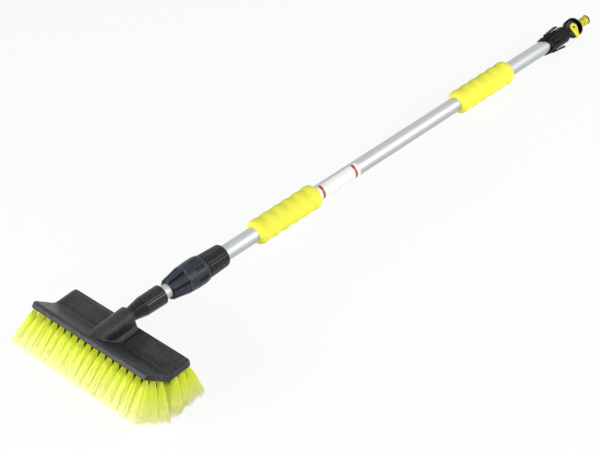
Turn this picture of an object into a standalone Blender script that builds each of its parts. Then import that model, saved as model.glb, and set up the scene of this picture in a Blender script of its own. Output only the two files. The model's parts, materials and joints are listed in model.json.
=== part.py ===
"""Car wash brush on a telescopic flow-through pole, at rest on its bristle tips.

Units are metres, +Z is up. +X runs along the brush block, +Y points to the hose end
of the pole. The pole pieces are built along the local Y axis of one tilted guide.
"""

import math

import bmesh
import bpy
from mathutils import Vector

for old in list(bpy.data.objects):
    bpy.data.objects.remove(old)

# Fits shared by all pieces
fit_gap = 0.0003
cut_overrun = 0.002

# Brush block
head_length = 0.263
flange_thickness = 0.0113
rear_flange_depth = 0.0406
front_flange_depth = 0.045
front_flange_rise = math.radians(40.8)
flange_drop = 0.0142
rear_edge_setback = 0.005
valley_radius = 0.014
lip_radius = 0.0042
edge_radius = 0.002
plan_corner_radius = 0.0065
panel_height = 0.0013
panel_margin = 0.005
panel_slope = 0.0012
panel_half_gap = 0.024

# Pole socket on the block
mouth_setback = 0.0055
socket_radius = 0.0162
socket_face = 0.0064
socket_end = 0.0782
socket_edge = 0.001
socket_sink = 0.005
saddle_start = 0.0072
saddle_end = 0.052
saddle_flare = 0.0058
saddle_sink = 0.003
socket_bore_depth = 0.033
socket_passage_depth = 0.0115
socket_passage_radius = 0.0065
washer_thickness = 0.0027
outlet_radius = 0.0045
outlet_front_wall = 0.0008

# Bristles
tufts_per_row = 17
tuft_width = 0.0066
bristle_length = 0.0615
strand_tip_width = 0.0021
backing_thickness = 0.003
backing_end_margin = 0.0035
rear_row_margin = 0.006
rear_row_pitch = 0.0115
front_row_margin = 0.012
front_row_pitch = 0.0145
rear_row_leans = [math.radians(lean) for lean in (-6, 4, 14)]
front_row_leans = [math.radians(lean) for lean in (14, 30, 43)]
rear_row_fans = [math.radians(fan) for fan in (1, 2, 3)]
front_row_fans = [math.radians(fan) for fan in (4, 9, 11)]
tuft_spread_share = 0.25
row_spread = 0.006

# Tubes of the pole
inner_tube_diameter = 0.022
outer_tube_diameter = 0.025
tube_wall = 0.001
inner_tube_length = 0.838
tube_length_difference = 0.0405
shown_tube_length = 0.0125

# Head connector
spigot_radius = 0.0099
connector_neck_radius = 0.0102
connector_knee_radius = 0.0150
connector_end_radius = 0.01575
connector_taper_length = 0.019
connector_grip_length = 0.038
connector_web = 0.012
connector_rib_depth = 0.0009
connector_bore_radius = 0.005
connector_ribs = 22

# Lock nut, lock sleeve and clamp ring
nut_length = 0.0695
nut_small_radius = 0.0167
nut_belly_radius = 0.0189
nut_shoulder_radius = 0.0219
nut_band_radius = 0.0229
nut_end_radius = 0.0208
nut_belly_share = 0.20
nut_flute_end = 0.030
nut_window_start = 0.0445
nut_window_length = 0.0188
nut_flutes = 8
nut_flute_depth = 0.0022
nut_window_depth = 0.0009
nut_edge = 0.0012
nut_turn = math.radians(-13)
sleeve_grip_length = 0.041
sleeve_big_radius = 0.0199
sleeve_small_radius = 0.0184
sleeve_rib_depth = 0.0009
sleeve_edge = 0.002
sleeve_ribs = 24
neck_radius = 0.0166
neck_length = 0.0323
neck_lip = 0.003
clamp_length = 0.0227
clamp_small_radius = 0.0129
clamp_big_radius = 0.0162
clamp_slit = 0.003

# Guide piston with its two rings
piston_plug_length = 0.015
piston_head_length = 0.018
piston_bore_radius = 0.005
piston_groove_depth = 0.0018
piston_groove_margin = 0.003

# Foam grips
grip_length = 0.133
grip_radius = 0.0203
grip_wave_height = 0.0011
grip_waves = 6
grip_end_radius = 0.0065
lower_grip_offset = 0.065
upper_grip_to_cap = 0.0945

# End cap
cap_turn = math.radians(60)
cap_length = 0.0629
cap_mouth_length = 0.0096
cap_lip_radius = 0.0145
cap_lip_length = 0.0105
cap_radius = 0.0152
cap_scallop = 0.0095
cap_panel_depth = 0.0009
cap_nose_length = 0.006
cap_nose_radius = 0.0112
cap_outlet_radius = 0.0064
cap_notch_length = 0.0023
cap_notch_side = 0.0042
seal_thickness = 0.0027
ear_start = 0.0162
ear_length = 0.0325
ear_width = 0.0065
ear_sink = 0.0013
ear_gap = 0.0016
ear_reach = 0.0199
ear_tip_thickness = 0.0021
ear_edge = 0.002
ear_root_length = 0.0085
cap_rib_count = 5
cap_rib_length = 0.022
cap_rib_width = 0.0011
cap_rib_height = 0.0007
cap_rib_spacing = math.radians(11)

# Shut-off valve
valve_turn = math.radians(43)
valve_offset = 0.0177
drum_radius = 0.0173
drum_front = 0.007
drum_back = 0.001
drum_edge = 0.0011
guard_top = 0.0133
guard_width = 0.003
guard_setback = 0.0004
guard_start = math.radians(9)
guard_sweep = math.radians(196)
pipe_radius = 0.0068
pipe_length = 0.0173
water_bore_radius = 0.0032
chamber_radius = 0.0055
ball_radius = 0.0052
ball_bore_radius = 0.003
seat_width = 0.0022
seat_distance = 0.0045
slot_depth = 0.0016
slot_width = 0.0022
stem_radius = 0.0026
stem_head_radius = 0.0019
stem_head_length = 0.001
stem_tang_length = 0.0044
stem_ring_radius = 0.0004
screw_hole_radius = 0.0011
lever_rest_turn = math.radians(-11)
lever_pivot_radius = 0.0077
lever_tip_radius = 0.0035
lever_reach = 0.0195
lever_thickness = 0.003
lever_bevel = 0.0008
screw_head_radius = 0.0025
screw_head_length = 0.0011
screw_shaft_radius = 0.0008
screw_shaft_length = 0.002

# Hose nipple
nipple_bore_radius = 0.00475
nipple_flange_radius = 0.0079
nipple_flange_length = 0.0022
nipple_neck_radius = 0.0072
nipple_neck_length = 0.006
nipple_catch_radius = 0.006
nipple_catch_length = 0.0027
nipple_catch_slope = 0.0015
nipple_bulge_radius = 0.0079
nipple_bulge_length = 0.0096
nipple_tip_radius = 0.0069
nipple_tip_length = 0.0018
nipple_edge = 0.001
nipple_ring_reach = 0.0081
nipple_ring_groove_depth = 0.0013
tail_ring_groove_depth = 0.0013
tail_ring_offset = 0.003

# Worked out along the pole, from the narrow end of the connector
inner_tube_radius = inner_tube_diameter / 2
outer_tube_radius = outer_tube_diameter / 2
inner_tube_bore = inner_tube_radius - tube_wall
outer_tube_bore = outer_tube_radius - tube_wall
connector_end = connector_taper_length + connector_grip_length
nut_start = connector_end + shown_tube_length
nut_end = nut_start + nut_length
sleeve_shoulder = nut_end + fit_gap
neck_start = sleeve_shoulder - neck_length
clamp_start = neck_start - fit_gap - clamp_length
sleeve_end = sleeve_shoulder + sleeve_grip_length
outer_tube_start = neck_start + neck_lip + fit_gap
outer_tube_length = inner_tube_length + tube_length_difference
outer_tube_end = outer_tube_start + outer_tube_length
seal_start = outer_tube_end + fit_gap
cap_shoulder = seal_start + seal_thickness + fit_gap
cap_end = cap_shoulder + cap_mouth_length
cap_start = cap_end - cap_length
lower_grip_start = sleeve_end + lower_grip_offset
upper_grip_start = cap_start - upper_grip_to_cap - grip_length
valve_centre = cap_end + valve_offset
inner_tube_start = connector_web + fit_gap
inner_tube_end = inner_tube_start + inner_tube_length

# Worked out on the block, in (Y, Z) from the narrow end of the connector
rise_back = Vector((-math.cos(front_flange_rise), math.sin(front_flange_rise)))
rise_down = Vector((-math.sin(front_flange_rise), -math.cos(front_flange_rise)))
rear_top = Vector((-rear_edge_setback, -flange_drop))
valley_top = rear_top + Vector((-rear_flange_depth, 0))
front_top = valley_top + rise_back * front_flange_depth
valley_shift = flange_thickness * math.tan(front_flange_rise / 2)
valley_under = valley_top + Vector((-valley_shift, -flange_thickness))
rear_under = rear_top + Vector((0, -flange_thickness))
front_under = front_top + rise_down * flange_thickness
socket_height = flange_drop + flange_thickness + bristle_length

# The pole leans until the lowest piece of its hose end meets the floor
drum_low = drum_radius * math.sin(valve_turn) + drum_back * math.cos(valve_turn)
ear_low = ear_reach * math.sin(cap_turn) + ear_width / 2 * math.cos(cap_turn)
ear_end = cap_start + ear_start + ear_length - ear_edge
resting_points = [(valve_centre, drum_low), (ear_end, ear_low)]


def slope_to(along, reach):
    """Slope at which a point below the pole line meets the floor."""
    return math.asin(socket_height / math.hypot(along, reach)) - math.atan2(reach, along)


pole_slope = min(slope_to(along, reach) for along, reach in resting_points)


# Guides that carry the pieces

def guide(name, parent=None, location=(0, 0, 0), rotation=(0, 0, 0)):
    empty = bpy.data.objects.new(name, None)
    bpy.context.scene.collection.objects.link(empty)
    empty.parent = parent
    empty.location = location
    empty.rotation_euler = rotation
    return empty


stand = guide("stand")
head_line = guide("head_line", stand, (0, 0, socket_height))
pole_line = guide("pole_line", head_line, rotation=(-pole_slope, 0, 0))
cap_line = guide("cap_line", pole_line, (0, cap_start, 0), (0, cap_turn, 0))
valve_line = guide("valve_line", pole_line, (0, valve_centre, 0), (0, valve_turn, 0))
lever_line = guide("lever_line", valve_line, rotation=(0, 0, lever_rest_turn))
quarter_turn = (math.pi / 2, 0, 0)


# Shaping tools

def turned(section, steps, pattern=((0, None),), sweep=math.tau):
    """A solid turned about the local Y axis.

    A section point is (along, radius) with any groove depths behind it. The pattern is
    repeated round the ring: (share of a step, index of the depth taken there or None).
    """
    shape = bmesh.new()
    whole = sweep == math.tau
    rings = []
    for along, radius, *depths in section:
        if radius == 0:
            rings.append([shape.verts.new((0, along, 0))])
            continue
        ring = []
        for step in range(steps if whole else steps + 1):
            for share, kind in pattern:
                reach = radius - depths[kind] if depths and kind is not None else radius
                angle = sweep * (step + share) / steps + (math.tau - sweep) / 2
                point = (reach * math.cos(angle), along, reach * math.sin(angle))
                ring.append(shape.verts.new(point))
        rings.append(ring)
    pairs = list(zip(rings, rings[1:]))
    if len(rings[0]) > 1:
        pairs.append((rings[-1], rings[0]))
    for first, second in pairs:
        count = max(len(first), len(second))
        for i in range(count if whole else count - 1):
            corners = [first[i % len(first)], first[(i + 1) % len(first)]]
            corners += [second[(i + 1) % len(second)], second[i % len(second)]]
            shape.faces.new(dict.fromkeys(corners))
    if not whole:
        shape.faces.new([ring[0] for ring in rings])
        shape.faces.new([ring[-1] for ring in rings])
    bmesh.ops.recalc_face_normals(shape, faces=shape.faces)
    return shape


def lofted(outlines):
    """A solid through outlines of equal point counts, closed at both ends."""
    shape = bmesh.new()
    rings = [[shape.verts.new(point) for point in outline] for outline in outlines]
    for first, second in zip(rings, rings[1:]):
        for i in range(len(first)):
            following = (i + 1) % len(first)
            shape.faces.new((first[i], first[following], second[following], second[i]))
    shape.faces.new(rings[0])
    shape.faces.new(rings[-1])
    bmesh.ops.recalc_face_normals(shape, faces=shape.faces)
    return shape


def block(low, high):
    """A rectangular block between two corners."""
    corners = [(low[0], low[1]), (high[0], low[1]), (high[0], high[1]), (low[0], high[1])]
    return lofted([[(x, y, z) for x, y in corners] for z in (low[2], high[2])])


def placed(name, shape, parent, location=(0, 0, 0), rotation=(0, 0, 0)):
    mesh = bpy.data.meshes.new(name)
    shape.to_mesh(mesh)
    shape.free()
    piece = bpy.data.objects.new(name, mesh)
    bpy.context.scene.collection.objects.link(piece)
    piece.parent = parent
    piece.location = location
    piece.rotation_euler = rotation
    return piece


def finished(piece, colour, roughness, metallic=0.0, sharp_angle=math.radians(32)):
    """Gives a piece its own material and smooth shading."""
    material = bpy.data.materials.new(piece.name + "_finish")
    material.use_nodes = True
    shader = material.node_tree.nodes["Principled BSDF"]
    shader.inputs["Base Color"].default_value = (*colour, 1)
    shader.inputs["Roughness"].default_value = roughness
    shader.inputs["Metallic"].default_value = metallic
    piece.data.materials.append(material)
    piece.data.shade_smooth()
    piece.data.set_sharp_from_angle(angle=sharp_angle)
    return piece


def combine(piece, helper, operation):
    """Joins a helper to a piece, or cuts it out, and hides the helper."""
    step = piece.modifiers.new(operation.lower() + "_" + helper.name, "BOOLEAN")
    step.operation = operation
    step.solver = "EXACT"
    step.object = helper
    helper.hide_render = True
    helper.display_type = "WIRE"


def arc(centre, radius, start, end, steps):
    """Points on an arc, in a plane of two axes."""
    turns = [start + (end - start) * i / steps for i in range(steps + 1)]
    return [Vector(centre) + radius * Vector((math.cos(turn), math.sin(turn))) for turn in turns]


def rounded_corner(before, corner, after, radius, steps):
    """Arc points that round a corner of an outline."""
    back = (before - corner).normalized()
    ahead = (after - corner).normalized()
    half = back.angle(ahead) / 2
    centre = corner + (back + ahead).normalized() * radius / math.sin(half)
    first = corner + back * radius / math.tan(half) - centre
    last = corner + ahead * radius / math.tan(half) - centre
    sweep = first.angle_signed(last)
    points = []
    for i in range(steps + 1):
        cosine = math.cos(sweep * i / steps)
        sine = -math.sin(sweep * i / steps)
        across = first.x * cosine - first.y * sine
        up = first.x * sine + first.y * cosine
        points.append(centre + Vector((across, up)))
    return points


def ring_section(along, ring_centre_radius, ring_radius, points):
    """Round section of an O-ring."""
    turns = [math.tau * i / points for i in range(points)]
    return [
        (along + ring_radius * math.sin(turn), ring_centre_radius + ring_radius * math.cos(turn))
        for turn in turns
    ]


black_plastic = (0.018, 0.019, 0.021)
gloss_black = (0.010, 0.010, 0.011)
blue_grey = (0.060, 0.068, 0.085)
aluminium = (0.78, 0.79, 0.81)
foam_yellow = (0.90, 0.88, 0.05)
plastic_yellow = (0.60, 0.58, 0.015)
bristle_yellow = (0.72, 0.86, 0.05)
seal_black = (0.012, 0.012, 0.012)
seat_white = (0.80, 0.80, 0.78)
steel = (0.60, 0.60, 0.62)
brass = (0.62, 0.44, 0.18)

plain_steps = 24
round_steps = 32
small_steps = 18
corner_steps = 3


# Brush block: one section of the two flanges, drawn in towards the rounded ends

def block_section(corner_inset, edge_inset):
    """(Y, Z) outline of the block, shortened at both long edges and thinned."""
    valley_inset = Vector((edge_inset * math.tan(front_flange_rise / 2), edge_inset))
    corners = {
        "rear_top": rear_top + Vector((-corner_inset, -edge_inset)),
        "valley_top": valley_top - valley_inset,
        "front_top": front_top - rise_back * corner_inset + rise_down * edge_inset,
        "front_under": front_under - rise_back * corner_inset - rise_down * edge_inset,
        "valley_under": valley_under + valley_inset,
        "rear_under": rear_under + Vector((-corner_inset, edge_inset)),
    }
    radii = {
        "rear_top": edge_radius,
        "valley_top": valley_radius,
        "front_top": lip_radius,
        "front_under": edge_radius,
        "valley_under": edge_radius,
        "rear_under": edge_radius,
    }
    names = list(corners)
    outline = []
    for i, name in enumerate(names):
        before = corners[names[i - 1]]
        after = corners[names[(i + 1) % len(names)]]
        outline += rounded_corner(before, corners[name], after, radii[name], corner_steps)
    return outline


def block_stations():
    """(X, corner inset, edge inset) along the right half, from the middle outwards."""
    stations = []
    for i in range(corner_steps + 1):
        turn = math.pi / 2 * i / corner_steps
        x = head_length / 2 - plan_corner_radius * (1 - math.sin(turn))
        inset = plan_corner_radius * (1 - math.cos(turn))
        thinned = edge_radius * max(0, 1 - (head_length / 2 - x) / edge_radius)
        stations.append((x, inset, thinned))
    return stations


right_half = block_stations()
left_half = [(-x, inset, thinned) for x, inset, thinned in reversed(right_half)]
block_outlines = []
for x, inset, thinned in left_half + right_half:
    block_outlines.append([(x, point.x, point.y) for point in block_section(inset, thinned)])
brush_block = placed("brush_block", lofted(block_outlines), head_line)


def panel_outlines(side):
    """Raised panel on the rear flange, with sloped edges."""
    inner = panel_half_gap
    outer = head_length / 2 - panel_margin
    rear = rear_top.x - panel_margin
    front = valley_top.x + panel_margin
    levels = [(-panel_height, 0), (0, 0), (panel_height, panel_slope)]
    outlines = []
    for rise, draw_in in levels:
        near, far = side * (inner + draw_in), side * (outer - draw_in)
        low, high = front + draw_in, rear - draw_in
        corners = [(near, low), (far, low), (far, high), (near, high)]
        outlines.append([(x, y, rear_top.y + rise) for x, y in corners])
    return outlines


for side, side_name in ((-1, "left"), (1, "right")):
    panel = placed("panel_" + side_name, lofted(panel_outlines(side)), head_line)
    combine(brush_block, panel, "UNION")


# Pole socket: an arch from the mouth to the front lip, on a flared saddle

arch_shares = [
    (0.0, 0.94),
    (0.014, 1.0),
    (0.35, 0.99),
    (0.72, 0.96),
    (0.86, 0.91),
    (0.95, 0.85),
    (1.0, 0.78),
]


def arch_outline(along, radius, steps=14):
    """Half-round top over straight sides, with its foot sunk in the flanges."""
    front_rise = max(0, along + valley_top.x) * math.tan(front_flange_rise)
    foot = max(-flange_drop - saddle_sink, front_rise - flange_drop - socket_sink)
    start = math.asin(max(0, foot) / radius)
    outline = arc((0, 0), radius, start, math.pi - start, steps)
    foot_width = radius * math.cos(start)
    outline += [Vector((-foot_width, foot - socket_edge)), Vector((foot_width, foot - socket_edge))]
    return [(point.x, -along, point.y) for point in outline]


arch_run = socket_end - socket_face
arch_outlines = []
for run_share, radius_share in arch_shares:
    arch_outlines.append(arch_outline(socket_face + arch_run * run_share, socket_radius * radius_share))
socket_barrel = placed("socket_barrel", lofted(arch_outlines), head_line)
combine(brush_block, socket_barrel, "UNION")

saddle_foot = -flange_drop - saddle_sink
saddle_side_shares = [(0.80, 0.10), (0.985, 0.42), (1.03, 0.68)]


def saddle_outline(along):
    """Half widths fall from the flare at the foot into the barrel."""
    side = [(socket_radius + saddle_flare, saddle_foot), (socket_radius + saddle_flare, -flange_drop)]
    for width_share, drop_share in reversed(saddle_side_shares):
        side.append((socket_radius * width_share, -flange_drop * drop_share))
    outline = side + [(-x, z) for x, z in reversed(side)]
    return [(x, -along, z) for x, z in outline]


saddle = placed("saddle", lofted([saddle_outline(saddle_start), saddle_outline(saddle_end)]), head_line)
combine(brush_block, saddle, "UNION")

socket_bore_radius = spigot_radius + fit_gap
bore_section = [
    (cut_overrun, 0),
    (cut_overrun, socket_bore_radius),
    (-socket_bore_depth, socket_bore_radius),
    (-socket_bore_depth, socket_passage_radius),
    (-socket_bore_depth - socket_passage_depth, socket_passage_radius),
    (-socket_bore_depth - socket_passage_depth, 0),
]
mouth = (0, -mouth_setback, 0)
socket_bore = placed("socket_bore", turned(bore_section, plain_steps), pole_line, mouth)
combine(brush_block, socket_bore, "DIFFERENCE")

outlet_place = valley_under.x + outlet_front_wall + outlet_radius
outlet_section = [
    (0, 0),
    (0, outlet_radius),
    (rear_under.y - cut_overrun, outlet_radius),
    (rear_under.y - cut_overrun, 0),
]
outlet_shape = turned(outlet_section, small_steps)
outlet_cut = placed("outlet_cut", outlet_shape, head_line, (0, outlet_place, 0), quarter_turn)
combine(brush_block, outlet_cut, "DIFFERENCE")


# Bristle rows: each is a strip of backing with its tufts of four strands

tuft_run = head_length - 2 * backing_end_margin - tuft_width
tuft_pitch = tuft_run / (tufts_per_row - 1)
backing_end_rim = 0.0005
level_down = Vector((0, -1))
level_front = Vector((-1, 0))


def bristle_rows():
    """(name, root centre, direction along the underside, outward, lean, fan)"""
    rows = []
    for i, (lean, fan) in enumerate(zip(rear_row_leans, rear_row_fans)):
        root = rear_under + level_front * (rear_row_margin + rear_row_pitch * i)
        rows.append(("bristles_rear_" + str(i + 1), root, level_front, level_down, lean, fan))
    for i, (lean, fan) in enumerate(zip(front_row_leans, front_row_fans)):
        root = valley_under + rise_back * (front_row_margin + front_row_pitch * i)
        rows.append(("bristles_front_" + str(i + 1), root, rise_back, rise_down, lean, fan))
    return rows


def row_strip(root, tangent, outward, lean, end_fan):
    """Backing strip whose tuft cells are drawn out into strands, cut on one plane."""
    shape = bmesh.new()
    half = tuft_width / 2
    columns = [-tuft_run / 2 - half - backing_end_rim]
    for tuft in range(tufts_per_row):
        middle = -tuft_run / 2 + tuft_pitch * tuft
        columns += [middle - half, middle, middle + half]
    columns.append(tuft_run / 2 + half + backing_end_rim)
    lines = [-half, 0, half]

    def point(x, across, depth):
        place = root + tangent * across + outward * depth
        return Vector((x, place.x, place.y))

    lower = [[shape.verts.new(point(x, across, 0)) for across in lines] for x in columns]
    upper = []
    for x in columns:
        upper.append([shape.verts.new(point(x, across, -backing_thickness)) for across in (-half, half)])
    for i in range(len(columns) - 1):
        shape.faces.new((upper[i][0], upper[i + 1][0], upper[i + 1][1], upper[i][1]))
        shape.faces.new((lower[i][0], lower[i + 1][0], upper[i + 1][0], upper[i][0]))
        shape.faces.new((lower[i][2], lower[i + 1][2], upper[i + 1][1], upper[i][1]))
        if i % 3 == 0:
            shape.faces.new(lower[i] + lower[i + 1][::-1])
    for i in (0, len(columns) - 1):
        shape.faces.new(lower[i] + upper[i][::-1])

    normal = Vector((0, outward.x, outward.y))
    start = point(0, 0, 0)
    for tuft in range(tufts_per_row):
        middle = -tuft_run / 2 + tuft_pitch * tuft
        fan = end_fan * (middle / (tuft_run / 2)) ** 3
        way = Vector((math.sin(fan), -math.sin(lean) * math.cos(fan), -math.cos(lean) * math.cos(fan)))
        centre = point(middle, 0, 0)
        for column in (0, 1):
            for line in (0, 1):
                first = 1 + tuft * 3 + column
                roots = [
                    lower[first][line],
                    lower[first + 1][line],
                    lower[first + 1][line + 1],
                    lower[first][line + 1],
                ]
                side = (2 * column - 1) * tuft_pitch * tuft_spread_share
                depth = (2 * line - 1) * row_spread
                tips = []
                for corner_x, corner_y in ((-1, -1), (1, -1), (1, 1), (-1, 1)):
                    beside = side + corner_x * strand_tip_width / 2
                    across = depth + corner_y * strand_tip_width / 2
                    above = centre + Vector((beside, tangent.x * across, tangent.y * across))
                    travel = (bristle_length - (above - start).dot(normal)) / way.dot(normal)
                    travel = min(travel, (above.z + socket_height) / -way.z)
                    tips.append(shape.verts.new(above + way * travel))
                for i in range(4):
                    following = (i + 1) % 4
                    shape.faces.new((roots[i], roots[following], tips[following], tips[i]))
                shape.faces.new(tips)
    bmesh.ops.recalc_face_normals(shape, faces=shape.faces)
    return shape


channels = bmesh.new()
for name, root, tangent, outward, lean, end_fan in bristle_rows():
    row = placed(name, row_strip(root, tangent, outward, lean, end_fan), head_line)
    finished(row, bristle_yellow, 0.45)
    reach_x = tuft_run / 2 + tuft_width / 2 + backing_end_rim + fit_gap
    reach_y = tuft_width / 2 + fit_gap
    outlines = []
    for depth in (-backing_thickness - fit_gap, cut_overrun):
        front = root + tangent * reach_y + outward * depth
        back = root - tangent * reach_y + outward * depth
        corners = [(-reach_x, back), (reach_x, back), (reach_x, front), (-reach_x, front)]
        outlines.append([(x, place.x, place.y) for x, place in corners])
    channel = lofted(outlines)
    spare = bpy.data.meshes.new("channel")
    channel.to_mesh(spare)
    channel.free()
    channels.from_mesh(spare)
    bpy.data.meshes.remove(spare)
combine(brush_block, placed("bristle_channels", channels, head_line), "DIFFERENCE")
finished(brush_block, black_plastic, 0.55)

washer_start = -mouth_setback - socket_bore_depth + fit_gap
washer_section = [
    (0, socket_passage_radius),
    (0, spigot_radius),
    (washer_thickness, spigot_radius),
    (washer_thickness, socket_passage_radius),
]
washer_shape = turned(washer_section, small_steps)
socket_washer = placed("socket_washer", washer_shape, pole_line, (0, washer_start, 0))
finished(socket_washer, seal_black, 0.7)


# Head connector: threaded spigot, ribbed taper and ribbed grip

rib_shares = ((0.0, None), (0.5, 0))
spigot_start = washer_start + washer_thickness + fit_gap
taper_start = fit_gap - mouth_setback
tube_socket_radius = inner_tube_radius + fit_gap
connector_edge = connector_rib_depth
knee_end = connector_taper_length + connector_edge
connector_section = [
    (spigot_start, connector_bore_radius),
    (spigot_start, spigot_radius - connector_edge),
    (spigot_start + connector_edge, spigot_radius),
    (taper_start, spigot_radius),
    (taper_start, connector_neck_radius + connector_rib_depth / 2, connector_rib_depth / 2),
    (connector_taper_length, connector_knee_radius, connector_rib_depth),
    (knee_end, connector_knee_radius + connector_edge / 3, connector_rib_depth),
    (connector_end - connector_edge, connector_end_radius, connector_rib_depth),
    (connector_end, connector_end_radius - connector_edge, 0),
    (connector_end, tube_socket_radius),
    (connector_web, tube_socket_radius),
    (connector_web, connector_bore_radius),
]
head_connector = placed("head_connector", turned(connector_section, connector_ribs, rib_shares), pole_line)
finished(head_connector, gloss_black, 0.22)


# Tubes

def tube(name, radius, start, length, steps):
    section = [(0, radius - tube_wall), (0, radius), (length, radius), (length, radius - tube_wall)]
    piece = placed(name, turned(section, steps), pole_line, (0, start, 0))
    return finished(piece, aluminium, 0.32, 0.9)


tube("inner_tube", inner_tube_radius, inner_tube_start, inner_tube_length, round_steps)
tube("outer_tube", outer_tube_radius, outer_tube_start, outer_tube_length, round_steps)


# Guide piston in the inner end of the inner tube, with two rings that seal in the outer tube

piston_ring_radius = (outer_tube_bore - inner_tube_radius + piston_groove_depth) / 2 - fit_gap
piston_ring_centre = outer_tube_bore - fit_gap - piston_ring_radius
piston_groove_width = 2 * piston_ring_radius + 2 * fit_gap
piston_floor = inner_tube_radius - piston_groove_depth
first_groove = piston_groove_margin
second_groove = piston_head_length - piston_groove_margin - piston_groove_width
plug_radius = inner_tube_bore - fit_gap
piston_section = [
    (-piston_plug_length, piston_bore_radius),
    (-piston_plug_length, plug_radius),
    (0, plug_radius),
    (0, inner_tube_radius),
]
for groove in (first_groove, second_groove):
    piston_section.append((groove, inner_tube_radius))
    piston_section.append((groove, piston_floor))
    piston_section.append((groove + piston_groove_width, piston_floor))
    piston_section.append((groove + piston_groove_width, inner_tube_radius))
piston_section += [(piston_head_length, inner_tube_radius), (piston_head_length, piston_bore_radius)]
piston_start = inner_tube_end + fit_gap
guide_piston = placed("guide_piston", turned(piston_section, small_steps), pole_line, (0, piston_start, 0))
finished(guide_piston, black_plastic, 0.5)

for name, groove in (("piston_ring_front", first_groove), ("piston_ring_rear", second_groove)):
    place = piston_start + groove + piston_groove_width / 2
    section = ring_section(0, piston_ring_centre, piston_ring_radius, 6)
    ring = placed(name, turned(section, small_steps), pole_line, (0, place, 0))
    finished(ring, seal_black, 0.6)


# Clamp ring: a split cone that the nut squeezes on the inner tube

clamp_bore = inner_tube_radius + fit_gap
clamp_section = [
    (0, clamp_bore),
    (0, clamp_small_radius),
    (clamp_length, clamp_big_radius),
    (clamp_length, clamp_bore),
]
slit_angle = clamp_slit / clamp_bore
clamp_shape = turned(clamp_section, plain_steps, sweep=math.tau - slit_angle)
clamp_ring = placed("clamp_ring", clamp_shape, pole_line, (0, clamp_start, 0))
finished(clamp_ring, seat_white, 0.5)


# Lock nut: fluted cone, line groove and a band of windows

flute_shares = (
    (0.00, None),
    (0.08, 1),
    (0.36, 1),
    (0.44, None),
    (0.55, None),
    (0.60, 0),
    (0.94, 0),
)
nut_bore = neck_radius + fit_gap
nut_cone_start = clamp_start - nut_start - fit_gap
nut_cone_end = neck_start - nut_start
belly = nut_length * nut_belly_share
window_end = nut_window_start + nut_window_length
lip_bore = inner_tube_radius + fit_gap
nut_section = [
    (0, lip_bore),
    (0, nut_small_radius - nut_edge, nut_flute_depth / 2, 0),
    (nut_edge, nut_small_radius, nut_flute_depth, 0),
    (belly, nut_belly_radius, nut_flute_depth, 0),
    (nut_flute_end - nut_edge, nut_shoulder_radius, nut_flute_depth, 0),
    (nut_flute_end, nut_shoulder_radius, 0, 0),
    (nut_window_start, nut_band_radius - nut_edge / 5, 0, 0),
    (nut_window_start + nut_edge / 2, nut_band_radius, 0, nut_window_depth),
    (window_end - 2 * nut_edge, nut_band_radius, 0, nut_window_depth),
    (window_end - nut_edge, nut_band_radius - nut_edge / 5, 0, 0),
    (nut_length - nut_edge, nut_end_radius + nut_edge / 2, 0, 0),
    (nut_length, nut_end_radius - nut_edge, 0, 0),
    (nut_length, nut_bore),
    (nut_cone_end, nut_bore),
    (nut_cone_end, clamp_big_radius + fit_gap),
    (nut_cone_start, clamp_small_radius + fit_gap),
    (nut_cone_start, lip_bore),
]
nut_shape = turned(nut_section, nut_flutes, flute_shares)
lock_nut = placed("lock_nut", nut_shape, pole_line, (0, nut_start, 0), (0, nut_turn, 0))
finished(lock_nut, blue_grey, 0.38)


# Lock sleeve: threaded neck under the nut and a ribbed grip on the outer tube

sleeve_bore = outer_tube_radius + fit_gap
sleeve_section = [
    (0, lip_bore),
    (0, neck_radius),
    (neck_length, neck_radius),
    (neck_length, sleeve_big_radius - sleeve_edge / 2),
    (neck_length + sleeve_edge / 2, sleeve_big_radius, 0),
    (neck_length + sleeve_edge, sleeve_big_radius, sleeve_rib_depth),
    (neck_length + sleeve_grip_length - 2 * sleeve_edge, sleeve_small_radius, sleeve_rib_depth),
    (neck_length + sleeve_grip_length - sleeve_edge, sleeve_small_radius - sleeve_edge / 4, 0),
    (neck_length + sleeve_grip_length, sleeve_small_radius - sleeve_edge),
    (neck_length + sleeve_grip_length, sleeve_bore),
    (neck_lip, sleeve_bore),
    (neck_lip, lip_bore),
]
sleeve_shape = turned(sleeve_section, sleeve_ribs, rib_shares)
lock_sleeve = placed("lock_sleeve", sleeve_shape, pole_line, (0, neck_start, 0))
finished(lock_sleeve, black_plastic, 0.42)


# Foam grips with finger waves

def grip_section():
    """Waved outside with rounded ends, and a straight bore."""
    bore = outer_tube_radius + fit_gap
    end_steps = 3
    wave_steps = 3
    section = [(0, bore)]
    for i in range(end_steps + 1):
        turn = math.pi / 2 * i / end_steps
        along = grip_end_radius * (1 - math.cos(turn))
        section.append((along, grip_radius - grip_end_radius * (1 - math.sin(turn))))
    run = grip_length - 2 * grip_end_radius
    for i in range(1, grip_waves * wave_steps):
        share = i / (grip_waves * wave_steps)
        dip = grip_wave_height * (1 - math.cos(math.tau * grip_waves * share)) / 2
        section.append((grip_end_radius + run * share, grip_radius - dip))
    for i in range(end_steps + 1):
        turn = math.pi / 2 * i / end_steps
        along = grip_length - grip_end_radius * (1 - math.sin(turn))
        section.append((along, grip_radius - grip_end_radius * (1 - math.cos(turn))))
    section.append((grip_length, bore))
    return section


for name, start in (("lower_grip", lower_grip_start), ("upper_grip", upper_grip_start)):
    grip = placed(name, turned(grip_section(), small_steps), pole_line, (0, start, 0))
    finished(grip, foam_yellow, 0.85)


# End cap: rim, body with two side panels, ribs, two spring ears and a notch for the lever

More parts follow.
